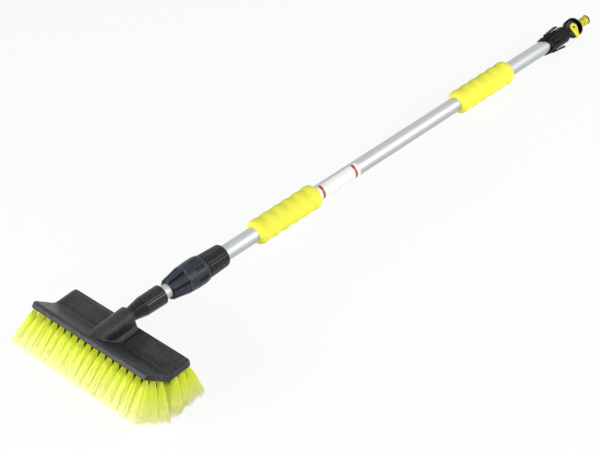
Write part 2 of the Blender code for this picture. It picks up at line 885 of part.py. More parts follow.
cap_bore = outer_tube_radius + fit_gap
panel_shares = [(i / 16, 0 if 3 < i < 13 else None) for i in range(16)]
cap_section = [
    (0, cap_bore),
    (0, cap_lip_radius - fit_gap),
    (fit_gap, cap_lip_radius),
    (cap_lip_length, cap_radius + cap_panel_depth),
    (cap_lip_length + 2 * cap_panel_depth, cap_radius, 0),
    (cap_lip_length + 4 * cap_panel_depth, cap_radius, cap_panel_depth),
    (cap_length - cap_nose_length, cap_radius, cap_panel_depth),
    (cap_length - cap_nose_length / 2, cap_radius - cap_panel_depth, 0),
    (cap_length, cap_nose_radius),
    (cap_length, cap_outlet_radius),
    (cap_shoulder - cap_start, cap_outlet_radius),
    (cap_shoulder - cap_start, cap_bore),
]
cap_shape = turned(cap_section, 2, panel_shares)
for vertex in cap_shape.verts:
    sideways = vertex.co.z ** 2 / (vertex.co.x ** 2 + vertex.co.z ** 2)
    fading = max(0, 1 - vertex.co.y / (cap_lip_length + 4 * cap_panel_depth))
    vertex.co.y += cap_scallop * sideways * fading
end_cap = placed("end_cap", cap_shape, cap_line)

ear_root = cap_radius - ear_sink
ear_under = cap_radius + ear_gap
ear_tip = ear_start + ear_length
ear_outline = [
    (ear_start, ear_root),
    (ear_start + ear_edge, ear_under),
    (ear_tip - ear_edge, ear_reach),
    (ear_tip, ear_reach - ear_edge / 4),
    (ear_tip, ear_reach - ear_tip_thickness),
    (ear_start + ear_root_length + ear_edge, ear_under),
    (ear_start + ear_root_length, ear_root),
]
for side, side_name in ((1, "low"), (-1, "high")):
    ends = []
    for z in (-ear_width / 2, ear_width / 2):
        ends.append([(side * reach, along, z) for along, reach in ear_outline])
    combine(end_cap, placed("ear_" + side_name, lofted(ends), cap_line), "UNION")

rib_end = cap_length - cap_nose_length - cap_rib_width
panel_radius = cap_radius - cap_panel_depth
rib_low = (panel_radius - cap_rib_height, rib_end - cap_rib_length, -cap_rib_width / 2)
rib_high = (panel_radius + cap_rib_height, rib_end, cap_rib_width / 2)
for side in (-1, 1):
    for i in range(cap_rib_count):
        angle = side * math.pi / 2 + cap_rib_spacing * (i - (cap_rib_count - 1) / 2)
        rib = placed("cap_rib", block(rib_low, rib_high), cap_line, rotation=(0, angle, 0))
        combine(end_cap, rib, "UNION")
notch_end = -valve_offset - cap_notch_length
notch_low = (-cap_notch_side, notch_end, drum_front)
notch_high = (drum_radius, cut_overrun - valve_offset, drum_radius)
combine(end_cap, placed("cap_notch", block(notch_low, notch_high), valve_line), "DIFFERENCE")
finished(end_cap, black_plastic, 0.4)

seal_section = [
    (0, cap_outlet_radius),
    (0, outer_tube_radius),
    (seal_thickness, outer_tube_radius),
    (seal_thickness, cap_outlet_radius),
]
tube_seal = placed("tube_seal", turned(seal_section, small_steps), pole_line, (0, seal_start, 0))
finished(tube_seal, seal_black, 0.7)


# Valve body: drum on the water pipe, with a guard wall round half of the lever

drum_section = [
    (-drum_back, 0),
    (-drum_back, drum_radius - drum_edge),
    (-drum_back + drum_edge, drum_radius),
    (drum_front - drum_edge / 2, drum_radius),
    (drum_front, drum_radius - drum_edge / 2),
    (drum_front, 0),
]
valve_body = placed("valve_body", turned(drum_section, round_steps), valve_line, rotation=quarter_turn)

guard_outside = drum_radius - guard_setback
guard_inside = guard_outside - guard_width
guard_section = [
    (drum_front - drum_edge, guard_inside),
    (drum_front - drum_edge, guard_outside),
    (guard_top - drum_edge, guard_outside),
    (guard_top, guard_outside - drum_edge),
    (guard_top, guard_inside + drum_edge / 2),
    (guard_top - drum_edge / 2, guard_inside),
]
guard_middle = guard_start + guard_sweep / 2
guard_shape = turned(guard_section, small_steps, sweep=guard_sweep)
guard = placed("guard", guard_shape, valve_line, rotation=(math.pi / 2, 0, guard_middle + math.pi))
combine(valve_body, guard, "UNION")

inlet_start = cap_shoulder + fit_gap - valve_centre
collar_start = cap_end + fit_gap - valve_centre
inlet_radius = cap_outlet_radius - fit_gap
pipe_section = [
    (inlet_start, 0),
    (inlet_start, inlet_radius),
    (collar_start, inlet_radius),
    (collar_start, pipe_radius),
    (pipe_length, pipe_radius),
    (pipe_length, 0),
]
combine(valve_body, placed("water_pipe", turned(pipe_section, plain_steps), valve_line), "UNION")

chamber_start = -seat_distance - seat_width - fit_gap
water_section = [
    (inlet_start - cut_overrun, 0),
    (inlet_start - cut_overrun, water_bore_radius),
    (chamber_start, water_bore_radius),
    (chamber_start, chamber_radius),
    (pipe_length + cut_overrun, chamber_radius),
    (pipe_length + cut_overrun, 0),
]
combine(valve_body, placed("water_cut", turned(water_section, plain_steps), valve_line), "DIFFERENCE")

stem_bore_section = [
    (0, 0),
    (0, stem_radius + fit_gap),
    (drum_front + cut_overrun, stem_radius + fit_gap),
    (drum_front + cut_overrun, 0),
]
stem_cut = placed("stem_cut", turned(stem_bore_section, small_steps), valve_line, rotation=quarter_turn)
combine(valve_body, stem_cut, "DIFFERENCE")
finished(valve_body, gloss_black, 0.2)

seat_section = [
    (0, water_bore_radius),
    (0, chamber_radius - fit_gap),
    (seat_width, chamber_radius - fit_gap),
    (seat_width, water_bore_radius),
]
for name, place in (("ball_seat_inlet", -seat_distance - seat_width), ("ball_seat_outlet", seat_distance)):
    seat = placed(name, turned(seat_section, small_steps), valve_line, (0, place, 0))
    finished(seat, seat_white, 0.4)


# Valve ball: shut at rest, with its bore across the pole

ball_rings = 10
ball_section = [(-ball_radius, 0)]
for i in range(1, ball_rings):
    turn = math.pi * i / ball_rings
    ball_section.append((-ball_radius * math.cos(turn), ball_radius * math.sin(turn)))
ball_section.append((ball_radius, 0))
valve_ball = placed("valve_ball", turned(ball_section, small_steps), lever_line)
bore_reach = ball_radius + cut_overrun
ball_bore_section = [
    (-bore_reach, 0),
    (-bore_reach, ball_bore_radius),
    (bore_reach, ball_bore_radius),
    (bore_reach, 0),
]
ball_bore = turned(ball_bore_section, small_steps)
ball_cut = placed("ball_cut", ball_bore, lever_line, rotation=(0, 0, math.pi / 2))
combine(valve_ball, ball_cut, "DIFFERENCE")
slot_low = (-bore_reach, -slot_width / 2, ball_radius - slot_depth)
slot_high = (bore_reach, slot_width / 2, bore_reach)
combine(valve_ball, placed("slot_cut", block(slot_low, slot_high), lever_line), "DIFFERENCE")
finished(valve_ball, brass, 0.2, 1.0)


# Valve stem: tang in the ball, shaft with a ring, head in the lever

tang_bottom = ball_radius - slot_depth + fit_gap
shaft_bottom = ball_radius + fit_gap
lever_bottom = drum_front + fit_gap
stem_top = lever_bottom + stem_head_length
stem_ring_centre = stem_radius - stem_ring_radius
groove_middle = (shaft_bottom + lever_bottom) / 2
groove_half = stem_ring_radius + fit_gap
groove_floor = stem_ring_centre - stem_ring_radius - fit_gap
stem_section = [
    (shaft_bottom, 0),
    (shaft_bottom, stem_radius),
    (groove_middle - groove_half, stem_radius),
    (groove_middle - groove_half, groove_floor),
    (groove_middle + groove_half, groove_floor),
    (groove_middle + groove_half, stem_radius),
    (lever_bottom, stem_radius),
    (lever_bottom, stem_head_radius),
    (stem_top, stem_head_radius),
    (stem_top, screw_hole_radius),
    (stem_top - screw_shaft_length, screw_hole_radius),
    (stem_top - screw_shaft_length, 0),
]
valve_stem = placed("valve_stem", turned(stem_section, small_steps), lever_line, rotation=quarter_turn)
tang_half = slot_width / 2 - fit_gap
tang_low = (-stem_tang_length / 2, -tang_half, tang_bottom)
tang_high = (stem_tang_length / 2, tang_half, shaft_bottom + fit_gap)
combine(valve_stem, placed("stem_tang", block(tang_low, tang_high), lever_line), "UNION")
finished(valve_stem, brass, 0.25, 1.0)

stem_ring_section = ring_section(groove_middle, stem_ring_centre, stem_ring_radius, 5)
stem_ring = placed("stem_ring", turned(stem_ring_section, small_steps), valve_line, rotation=quarter_turn)
finished(stem_ring, seal_black, 0.6)


# Valve lever: drop shape with a sloped edge, held on the stem by a screw

def lever_outline(draw_in, height):
    """Two arcs joined by their tangents."""
    big = lever_pivot_radius - draw_in
    small = lever_tip_radius - draw_in
    distance = lever_reach - lever_tip_radius
    lean = math.acos((big - small) / distance)
    points = arc((0, 0), big, lean, math.tau - lean, 12)
    points += arc((distance, 0), small, -lean, lean, 6)
    return [(point.x, point.y, height) for point in points]


lever_top = lever_bottom + lever_thickness
lever_levels = [(0, lever_bottom), (0, lever_top - 2 * lever_bevel), (lever_bevel, lever_top)]
valve_lever = placed("valve_lever", lofted([lever_outline(*level) for level in lever_levels]), lever_line)
screw_seat = stem_top + fit_gap
lever_hole_section = [
    (lever_bottom - cut_overrun, 0),
    (lever_bottom - cut_overrun, stem_head_radius + fit_gap),
    (screw_seat, stem_head_radius + fit_gap),
    (screw_seat, screw_head_radius + fit_gap),
    (lever_top + cut_overrun, screw_head_radius + fit_gap),
    (lever_top + cut_overrun, 0),
]
lever_bore = turned(lever_hole_section, small_steps)
lever_hole = placed("lever_hole", lever_bore, lever_line, rotation=quarter_turn)
combine(valve_lever, lever_hole, "DIFFERENCE")
finished(valve_lever, plastic_yellow, 0.3)

screw_bottom = screw_seat + fit_gap
screw_section = [
    (screw_bottom - screw_shaft_length, 0),
    (screw_bottom - screw_shaft_length, screw_shaft_radius),
    (screw_bottom, screw_shaft_radius),
    (screw_bottom, screw_head_radius),
    (screw_bottom + screw_head_length / 2, screw_head_radius),
    (screw_bottom + screw_head_length, screw_head_radius / 2),
    (screw_bottom + screw_head_length, 0),
]
lever_screw = placed("lever_screw", turned(screw_section, small_steps), lever_line, rotation=quarter_turn)
finished(lever_screw, steel, 0.3, 1.0)


# Hose nipple: tail in the valve, flange, neck, catch groove, bulge and tip with its ring

tail_radius = chamber_radius - fit_gap
tail_start = seat_distance + seat_width + fit_gap
tail_length = pipe_length + fit_gap - tail_start
tail_ring_radius = tail_ring_groove_depth / 2 - fit_gap / 2
tail_ring_centre = tail_radius - tail_ring_radius
tail_groove_end = tail_ring_offset + 2 * tail_ring_radius + 2 * fit_gap
neck_end = tail_length + nipple_flange_length + nipple_neck_length
catch_start = neck_end + nipple_catch_slope
catch_end = catch_start + nipple_catch_length
bulge_start = catch_end + nipple_catch_slope
bulge_end = bulge_start + nipple_bulge_length
tip_groove_floor = nipple_tip_radius - nipple_ring_groove_depth
tip_ring_radius = (nipple_ring_reach - tip_groove_floor - fit_gap) / 2
tip_groove_end = bulge_end + 2 * tip_ring_radius + 2 * fit_gap
nipple_end = tip_groove_end + nipple_tip_length
nipple_section = [
    (0, water_bore_radius),
    (0, tail_radius),
    (tail_ring_offset, tail_radius),
    (tail_ring_offset, tail_radius - tail_ring_groove_depth),
    (tail_groove_end, tail_radius - tail_ring_groove_depth),
    (tail_groove_end, tail_radius),
    (tail_length, tail_radius),
    (tail_length, nipple_flange_radius),
    (tail_length + nipple_flange_length, nipple_flange_radius),
    (tail_length + nipple_flange_length, nipple_neck_radius),
    (neck_end, nipple_neck_radius),
    (catch_start, nipple_catch_radius),
    (catch_end, nipple_catch_radius),
    (bulge_start, nipple_bulge_radius),
    (bulge_end, nipple_bulge_radius),
    (bulge_end, tip_groove_floor),
    (tip_groove_end, tip_groove_floor),
    (tip_groove_end, nipple_tip_radius),
    (nipple_end - nipple_edge, nipple_tip_radius),
    (nipple_end, nipple_tip_radius - nipple_edge),
    (nipple_end, nipple_bore_radius),
    (tail_length, nipple_bore_radius),
    (tail_length - nipple_catch_slope, water_bore_radius),
]
hose_nipple = placed("hose_nipple", turned(nipple_section, plain_steps), valve_line, (0, tail_start, 0))
finished(hose_nipple, plastic_yellow, 0.3)

tail_ring_place = tail_start + (tail_ring_offset + tail_groove_end) / 2
tail_ring_shape = turned(ring_section(0, tail_ring_centre, tail_ring_radius, 5), small_steps)
finished(placed("nipple_seal", tail_ring_shape, valve_line, (0, tail_ring_place, 0)), seal_black, 0.6)

tip_ring_centre = nipple_ring_reach - tip_ring_radius
tip_ring_place = tail_start + (bulge_end + tip_groove_end) / 2
tip_ring_shape = turned(ring_section(0, tip_ring_centre, tip_ring_radius, 6), plain_steps)
finished(placed("nipple_ring", tip_ring_shape, valve_line, (0, tip_ring_place, 0)), seal_black, 0.5)


# Origin under the middle of the whole brush, on the floor

def world_box():
    """Lowest and highest corner of all the solid pieces."""
    bpy.context.view_layer.update()
    graph = bpy.context.evaluated_depsgraph_get()
    corners = []
    for piece in bpy.context.scene.objects:
        if piece.type == "MESH" and not piece.hide_render:
            made = piece.evaluated_get(graph)
            corners += [made.matrix_world @ vertex.co for vertex in made.data.vertices]
    low = Vector([min(corner[axis] for corner in corners) for axis in range(3)])
    high = Vector([max(corner[axis] for corner in corners) for axis in range(3)])
    return low, high


low, high = world_box()
stand.location = (-(low.x + high.x) / 2, -(low.y + high.y) / 2, -low.z)
bpy.context.view_layer.update()

print("size", [round(high[axis] - low[axis], 5) for axis in range(3)], "lowest", round(low.z, 6))
print("pole slope", round(math.degrees(pole_slope), 4))
print("socket mouth", [round(value, 6) for value in pole_line.matrix_world.translation])
print("pole direction", [round(value, 6) for value in pole_line.matrix_world.col[1][:3]])
print("valve centre", [round(value, 6) for value in valve_line.matrix_world.translation])
print("stem direction", [round(value, 6) for value in valve_line.matrix_world.col[2][:3]])
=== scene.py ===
# %% [markdown]
# # A car wash brush on a telescopic pole
#
# The frame holds the whole brush as plain solids, each on the body that it moves with.
# This script gives it its looks. Most pieces that show are drawn again in finer form,
# in the very places of their solids, and the solids behind them are hidden. The pieces
# inside the pole and the valve keep their solids and only get a finish.

# %% Load the frame
import json
import math
from functools import partial

import bmesh
import bpy
from mathutils import Matrix, Vector


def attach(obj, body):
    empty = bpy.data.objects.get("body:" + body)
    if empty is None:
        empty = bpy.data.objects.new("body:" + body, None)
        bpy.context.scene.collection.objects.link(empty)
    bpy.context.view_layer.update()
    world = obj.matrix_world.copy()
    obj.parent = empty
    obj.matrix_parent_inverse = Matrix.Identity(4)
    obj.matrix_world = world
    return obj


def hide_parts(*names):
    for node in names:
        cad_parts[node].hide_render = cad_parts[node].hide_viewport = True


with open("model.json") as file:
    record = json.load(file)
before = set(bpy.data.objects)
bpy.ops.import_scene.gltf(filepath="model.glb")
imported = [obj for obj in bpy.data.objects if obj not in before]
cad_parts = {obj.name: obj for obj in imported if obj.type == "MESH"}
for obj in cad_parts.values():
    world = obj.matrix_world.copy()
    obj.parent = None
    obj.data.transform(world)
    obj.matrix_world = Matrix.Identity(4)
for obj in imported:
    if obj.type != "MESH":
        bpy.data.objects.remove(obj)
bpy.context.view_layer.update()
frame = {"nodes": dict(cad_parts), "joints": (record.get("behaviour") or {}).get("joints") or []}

nodes = frame["nodes"]

# %% [markdown]
# ## The two lines that everything is turned about
#
# Nearly all of the pole is round. It could be modelled piece by piece in the world's
# axes, but the pole leans, so it is simpler to draw each piece upright along a local
# Y axis and to carry it into place with one matrix. The joints of the frame already
# say where the pole's axis and the valve's stem are, so the matrices come from them.

# %% Matrices of the pole and of the valve
joints = {joint["name"]: joint for joint in frame["joints"]}
pole_point = Vector(joints["pole_turn"]["pos_m"])
pole_way = -Vector(joints["pole_turn"]["axis"])
stem_point = Vector(joints["valve_turn"]["pos_m"])
stem_way = -Vector(joints["valve_turn"]["axis"])


def line_matrix(point, side, along):
    """A matrix whose local Y runs along a line and whose local X points to a side."""
    up = side.cross(along)
    matrix = Matrix((side, along, up)).transposed().to_4x4()
    matrix.translation = point
    return matrix


pole = line_matrix(pole_point, Vector((1, 0, 0)), pole_way)
valve = line_matrix(stem_point, pole_way.cross(stem_way), pole_way)
pole_slope = math.asin(-pole_way.z)
print("pole slope", round(math.degrees(pole_slope), 2), "degrees")

# %% [markdown]
# ## Reading outlines from the frame
#
# A turned piece is fully given by its half section. The solids have only some twenty
# sides, but a cut through their axis still gives that section exactly. So each fine
# piece takes its section from its solid, has its corners rounded a little as a mould
# or a lathe leaves them, and is spun again with many more sides.

# %% Section, rounding and spinning
weld_distance = 1e-6
cut_distance = 1e-7
straight_on = 0.99999
fillet_share = 0.45


def merged(node):
    """A welded copy of a solid's mesh, as a bmesh."""
    shape = bmesh.new()
    shape.from_mesh(nodes[node].data)
    bmesh.ops.remove_doubles(shape, verts=shape.verts, dist=weld_distance)
    return shape


def section_of(node, line, turn=0.0):
    """Closed (along, radius) outline of a round solid, cut through its axis."""
    shape = merged(node)
    shape.transform(Matrix.Rotation(turn, 4, "Y") @ line.inverted())
    everything = shape.verts[:] + shape.edges[:] + shape.faces[:]
    cut = bmesh.ops.bisect_plane(
        shape, geom=everything, plane_co=(0, 0, 0), plane_no=(0, 0, 1), dist=cut_distance)
    links = {}
    for edge in [item for item in cut["geom_cut"] if isinstance(item, bmesh.types.BMEdge)]:
        if min(vert.co.x for vert in edge.verts) > weld_distance:
            for one, other in (edge.verts, reversed(edge.verts)):
                links.setdefault(one, []).append(other)
    start = min(links, key=lambda vert: (round(vert.co.y, 6), vert.co.x))
    loop = [start]
    following = links[start][0]
    while following is not start:
        loop.append(following)
        ways = links[following]
        following = ways[0] if ways[0] is not loop[-2] else ways[1]
    outline = [Vector((vert.co.y, vert.co.x)) for vert in loop]
    shape.free()
    corners = []
    for i, point in enumerate(outline):
        before = (point - outline[i - 1]).normalized()
        after = (outline[(i + 1) % len(outline)] - point).normalized()
        if before.dot(after) < straight_on:
            corners.append(point)
    return corners


def rounded(outline, fillet, steps=4):
    """The outline with each corner taken round, as far as its two sides allow."""
    points = []
    for i, corner in enumerate(outline):
        before = outline[i - 1] - corner
        after = outline[(i + 1) % len(outline)] - corner
        first = corner + before.normalized() * min(fillet, before.length * fillet_share)
        last = corner + after.normalized() * min(fillet, after.length * fillet_share)
        for step in range(steps + 1):
            t = step / steps
            points.append(first * (1 - t) ** 2 + corner * 2 * t * (1 - t) + last * t ** 2)
    return points


def divided(outline, longest):
    """The outline with points added, so that no side is longer than a given length."""
    points = []
    for i, point in enumerate(outline):
        following = outline[(i + 1) % len(outline)]
        parts = max(1, math.ceil((following - point).length / longest))
        points += [point.lerp(following, part / parts) for part in range(parts)]
    return points


def new_piece(name, shape, material=None):
    """An object at the origin from a bmesh, with its faces pointing out."""
    bmesh.ops.recalc_face_normals(shape, faces=shape.faces)
    mesh = bpy.data.meshes.new(name)
    shape.to_mesh(mesh)
    shape.free()
    if material:
        mesh.materials.append(material)
    piece = bpy.data.objects.new(name, mesh)
    bpy.context.scene.collection.objects.link(piece)
    return piece


def spun(name, outline, sides=144, material=None):
    """A closed body turned about local Y from a closed outline clear of the axis."""
    shape = bmesh.new()
    rings = []
    for i in range(sides):
        angle = math.tau * i / sides
        rings.append([shape.verts.new((p.y * math.cos(angle), p.x, p.y * math.sin(angle))) for p in outline])
    for i in range(sides):
        for j in range(len(outline)):
            ahead = (j + 1) % len(outline)
            shape.faces.new((rings[i - 1][j], rings[i - 1][ahead], rings[i][ahead], rings[i][j]))
    return new_piece(name, shape, material)


def settled(piece, line, body, sharp=40):
    """Turns a piece into a plain mesh in its place on its body, smooth up to so many degrees."""
    graph = bpy.context.evaluated_depsgraph_get()
    mesh = bpy.data.meshes.new_from_object(piece.evaluated_get(graph))
    piece.modifiers.clear()
    piece.data = mesh
    mesh.name = piece.name
    mesh.transform(line)
    mesh.shade_smooth()
    mesh.set_sharp_from_angle(angle=math.radians(sharp))
    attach(piece, body)
    print(piece.name, len(mesh.polygons), "faces")


in_place = Matrix.Identity(4)
tube_start = min(point.x for point in section_of("outer_tube", pole))
print("the outer tube starts", round(tube_start * 1000, 1), "mm along the pole")

# %% [markdown]
# ## Small helpers for node trees
#
# Shaders and Geometry Nodes are both trees of nodes. Writing them by hand means many
# lines that make a node, set a value and draw a link. A few helpers keep that short:
# the first adds a node with its values or links by socket name, and the others are the
# nodes that nearly every tree here needs, such as a sum, a soft step or a noise.

# %% Helpers for node trees
def add(tree, kind, inputs=None, **settings):
    """A node with its settings, and its inputs set to values or linked to outputs."""
    node = tree.nodes.new(kind)
    for name, value in settings.items():
        setattr(node, name, value)
    for key, value in (inputs or {}).items():
        if isinstance(value, bpy.types.NodeSocket):
            tree.links.new(value, node.inputs[key])
        else:
            node.inputs[key].default_value = value
    return node


def calc(tree, operation, *values):
    """The result of one math node."""
    return add(tree, "ShaderNodeMath", dict(enumerate(values)), operation=operation).outputs[0]


def smooth_step(tree, value, low, high):
    """0 below low, 1 above high and a soft rise between them."""
    ends = {"Value": value, "From Min": low, "From Max": high}
    return add(tree, "ShaderNodeMapRange", ends, interpolation_type="SMOOTHSTEP").outputs["Result"]


def noise(tree, place, scale, detail):
    """A noise between 0 and 1 with so many lumps a metre."""
    return add(tree, "ShaderNodeTexNoise", {"Vector": place, "Scale": scale, "Detail": detail}).outputs["Fac"]


def attribute(tree, name):
    """A value that the mesh carries, read by a shader."""
    return add(tree, "ShaderNodeAttribute", attribute_name=name).outputs["Fac"]


def blended(tree, factor, first, second):
    """Mixes two colours, each given as a colour or as an output."""
    values = {"Factor": factor, "A": first, "B": second}
    for key in ("A", "B"):
        if not isinstance(values[key], bpy.types.NodeSocket):
            values[key] = (*values[key], 1)
    return add(tree, "ShaderNodeMix", values, data_type="RGBA").outputs["Result"]


# %% [markdown]
# Each finish of the brush starts from the Principled shader, and gets its gloss and its
# bumps from values that vary over the surface. Two more helpers do that part.

# %% Helpers for shaders
def principled(name):
    """A new material with its tree and its shader."""
    material = bpy.data.materials.new(name)
    material.use_nodes = True
    return material, material.node_tree, material.node_tree.nodes["Principled BSDF"]


def surface_place(tree):
    """The place of each point of a surface, in metres."""
    return add(tree, "ShaderNodeTexCoord").outputs["Object"]


def roughened(tree, shader, value, least, most, top=1.0):
    """Moves a shader's roughness between two levels as a value goes from 0 to top."""
    ends = {"Value": value, "From Max": top, "To Min": least, "To Max": most}
    rough = add(tree, "ShaderNodeMapRange", ends).outputs["Result"]
    tree.links.new(rough, shader.inputs["Roughness"])


def bumped(tree, shader, height, depth):
    """Gives a shader bumps that are so many metres deep."""
    bump = add(tree, "ShaderNodeBump", {"Height": height, "Strength": 1.0, "Distance": depth})
    tree.links.new(bump.outputs["Normal"], shader.inputs["Normal"])


# %% [markdown]
# ## Moulded plastic
#
# Black brush blocks are moulded in tools with a spark-eroded surface, so the plastic
# is never one flat black: it has a fine grain that breaks up the light, and patches
# that took the grain a little deeper. A noise at about a millimetre gives the grain
# as bump, and a slow noise moves the roughness and the colour a little. Convex edges
# are paler, partly as wear and partly as a painted highlight, and the floors of
# grooves are darker, as painted shade where little light comes.

# %% Plastic finishes
patch_scale = 45.0
patch_weight = 0.5
patch_ends = (0.60, 0.92)
# Convex edges turn paler, partly as wear and partly as a painted highlight.
wear_highlight_weight = 0.02
wear_highlight_ends = (0.525, 0.60)
# How dark the painted shade on the floors of grooves is.
groove_shade_tone = 0.3
smooth_share = 0.85
rough_share = 1.15


def moulded(name, colour, deep, edge, roughness, grain, depth, specular):
    """Plastic with a moulded grain of so many grains a metre, with edges paler as wear and painted highlight,
    and painted shade in its grooves.
    """
    material, tree, shader = principled(name)
    place = surface_place(tree)
    slow = noise(tree, place, patch_scale, detail=3.0)
    fine = noise(tree, place, grain, detail=2.0)
    mottle = calc(tree, "ADD", fine, calc(tree, "MULTIPLY", slow, patch_weight))
    patches = smooth_step(tree, mottle, *patch_ends)
    tint = blended(tree, patches, deep, colour)
    # Painted highlight, partly wear: convex edges blend towards the paler edge colour.
    pointed = add(tree, "ShaderNodeNewGeometry").outputs["Pointiness"]
    pointed = calc(tree, "ADD", pointed, calc(tree, "MULTIPLY", fine, wear_highlight_weight))
    wear_and_highlight = smooth_step(tree, pointed, *wear_highlight_ends)
    tint = blended(tree, wear_and_highlight, tint, edge)
    # Painted shade: the floors of grooves darken towards a share of the deep colour.
    tint = blended(tree, attribute(tree, "groove"), tint, [channel * groove_shade_tone for channel in deep])
    tree.links.new(tint, shader.inputs["Base Color"])
    roughened(tree, shader, slow, roughness * smooth_share, roughness * rough_share)
    bumped(tree, shader, fine, depth)
    shader.inputs["Specular IOR Level"].default_value = specular
    return material


# Each plastic has its colour, the deeper colour of its grain and the colour of its worn
# edges, which is partly a painted highlight, then its roughness, the grains a metre,
# their depth and the specular level.
plastics = {
    "block_black": ((0.034, 0.037, 0.042), (0.003, 0.0035, 0.0045), (0.17, 0.178, 0.19),
                    0.34, 520.0, 0.0008, 0.32),
    "gloss_black": ((0.003, 0.003, 0.0035), (0.002, 0.002, 0.0025), (0.07, 0.07, 0.073),
                    0.20, 900.0, 0.0000004, 0.38),
    "sleeve_black": ((0.005, 0.0055, 0.007), (0.002, 0.002, 0.003), (0.055, 0.057, 0.062),
                     0.26, 1000.0, 0.000001, 0.28),
    "nut_grey": ((0.032, 0.039, 0.054), (0.018, 0.022, 0.031), (0.16, 0.185, 0.21),
                 0.32, 1000.0, 0.000004, 0.22),
    "cap_black": ((0.004, 0.0045, 0.006), (0.002, 0.002, 0.003), (0.02, 0.02, 0.024),
                  0.26, 1000.0, 0.000002, 0.08),
    "valve_black": ((0.003, 0.003, 0.0035), (0.002, 0.002, 0.0025), (0.01, 0.01, 0.012),
                    0.20, 900.0, 0.0000004, 0.14),
    "lever_yellow": ((0.74, 0.69, 0.012), (0.69, 0.64, 0.010), (0.85, 0.82, 0.18),
                     0.28, 700.0, 0.00002, 0.5),
    "nipple_yellow": ((0.58, 0.54, 0.006), (0.54, 0.50, 0.005), (0.74, 0.71, 0.10),
                      0.30, 700.0, 0.00002, 0.35),
    "seat_white": ((0.80, 0.80, 0.78), (0.72, 0.72, 0.70), (0.85, 0.85, 0.84),
                   0.40, 700.0, 0.00002, 0.5),
    "seal_rubber": ((0.004, 0.004, 0.004), (0.003, 0.003, 0.003), (0.008, 0.008, 0.008),
                    0.55, 1500.0, 0.00002, 0.08),
}
finishes = {name: moulded(name, *values) for name, values in plastics.items()}
print("plastic finishes:", ", ".join(finishes))

# %% [markdown]
# ## Metal
#
# The tubes are drawn aluminium with a satin anodised skin. Drawing leaves faint lines
# along the tube. A noise that is squeezed across the tube and stretched along it gives
# those lines; its Mapping node is turned by the pole's slope, so that they follow the
# pole. The small brass and steel pieces are turned, and need only a light grain.

# %% Metal finishes
line_scale = 1400.0
line_stretch = 0.01
line_depth = 0.000004
line_tone = 0.93
cloud_scale = 12.0
polished_share = 0.8
dull_share = 1.25


def drawn_metal(name, colour, roughness, clouds):
    """Metal with fine lines along the pole, and with slow clouds in its gloss."""
    material, tree, shader = principled(name)
    place = surface_place(tree)
    turned = add(tree, "ShaderNodeMapping", {"Vector": place, "Rotation": (pole_slope, 0, 0)}).outputs[0]
    stretch = {"Vector": turned, "Scale": (1.0, line_stretch, 1.0)}
    lines = noise(tree, add(tree, "ShaderNodeMapping", stretch).outputs[0], line_scale, detail=3.0)
    slow = noise(tree, place, cloud_scale, detail=3.0)
    wear = calc(tree, "ADD", lines, calc(tree, "MULTIPLY", slow, clouds))
    roughened(tree, shader, wear, roughness * polished_share, roughness * dull_share, top=1 + clouds)
    bumped(tree, shader, lines, line_depth)
    tint = blended(tree, lines, colour, [channel * line_tone for channel in colour])
    tree.links.new(tint, shader.inputs["Base Color"])
    shader.inputs["Metallic"].default_value = 1.0
    return material


tube_aluminium = drawn_metal("tube_aluminium", (0.51, 0.525, 0.535), roughness=0.50, clouds=0.6)
turned_brass = drawn_metal("turned_brass", (0.72, 0.50, 0.20), roughness=0.24, clouds=0.3)
screw_steel = drawn_metal("screw_steel", (0.035, 0.035, 0.038), roughness=0.40, clouds=0.3)

# %% [markdown]
# ## The tubes
#
# Both tubes are plain spun rings. Their ends are deburred, which the small fillet
# shows. The inner tube only looks out by a finger's width here, but it slides out by
# more than half a metre, so it is finished over its whole length.

# %% Tubes
tube_burr = 0.0002
for tube, body in (("inner_tube", "pole_head"), ("outer_tube", "handle")):
    outline = rounded(section_of(tube, pole), tube_burr, steps=2)
    piece = spun("satin_" + tube, outline, material=tube_aluminium)
    settled(piece, pole, body)
    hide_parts(tube)

# %% [markdown]
# ## Label film
#
# A white film with two plain stripes is stuck on the outer tube behind the lower grip.
# It could be painted on the tube's material, but a real film has an edge that catches
# the light, so it is a thin bent sheet that lies on the tube. The share of its length
# is kept in an attribute, which the stripes read.

# %% Label film
film_start = 0.378
film_end = 0.469
film_half_turn = math.radians(78)
film_thickness = 0.00012
film_turn = math.radians(8)
stripe_place = 0.40
stripe_half_width = 0.028
smudge_scale = 60.0


def film_finish(name, paper, stripe):
    """Glossy white film with two stripes across its ends."""
    material, tree, shader = principled(name)
    from_middle = calc(tree, "ABSOLUTE", calc(tree, "SUBTRACT", attribute(tree, "along"), 0.5))
    from_line = calc(tree, "ABSOLUTE", calc(tree, "SUBTRACT", from_middle, stripe_place))
    line = calc(tree, "LESS_THAN", from_line, stripe_half_width)
    tree.links.new(blended(tree, line, paper, stripe), shader.inputs["Base Color"])
    smudges = noise(tree, surface_place(tree), smudge_scale, detail=2.0)
    roughened(tree, shader, smudges, least=0.16, most=0.30)
    return material


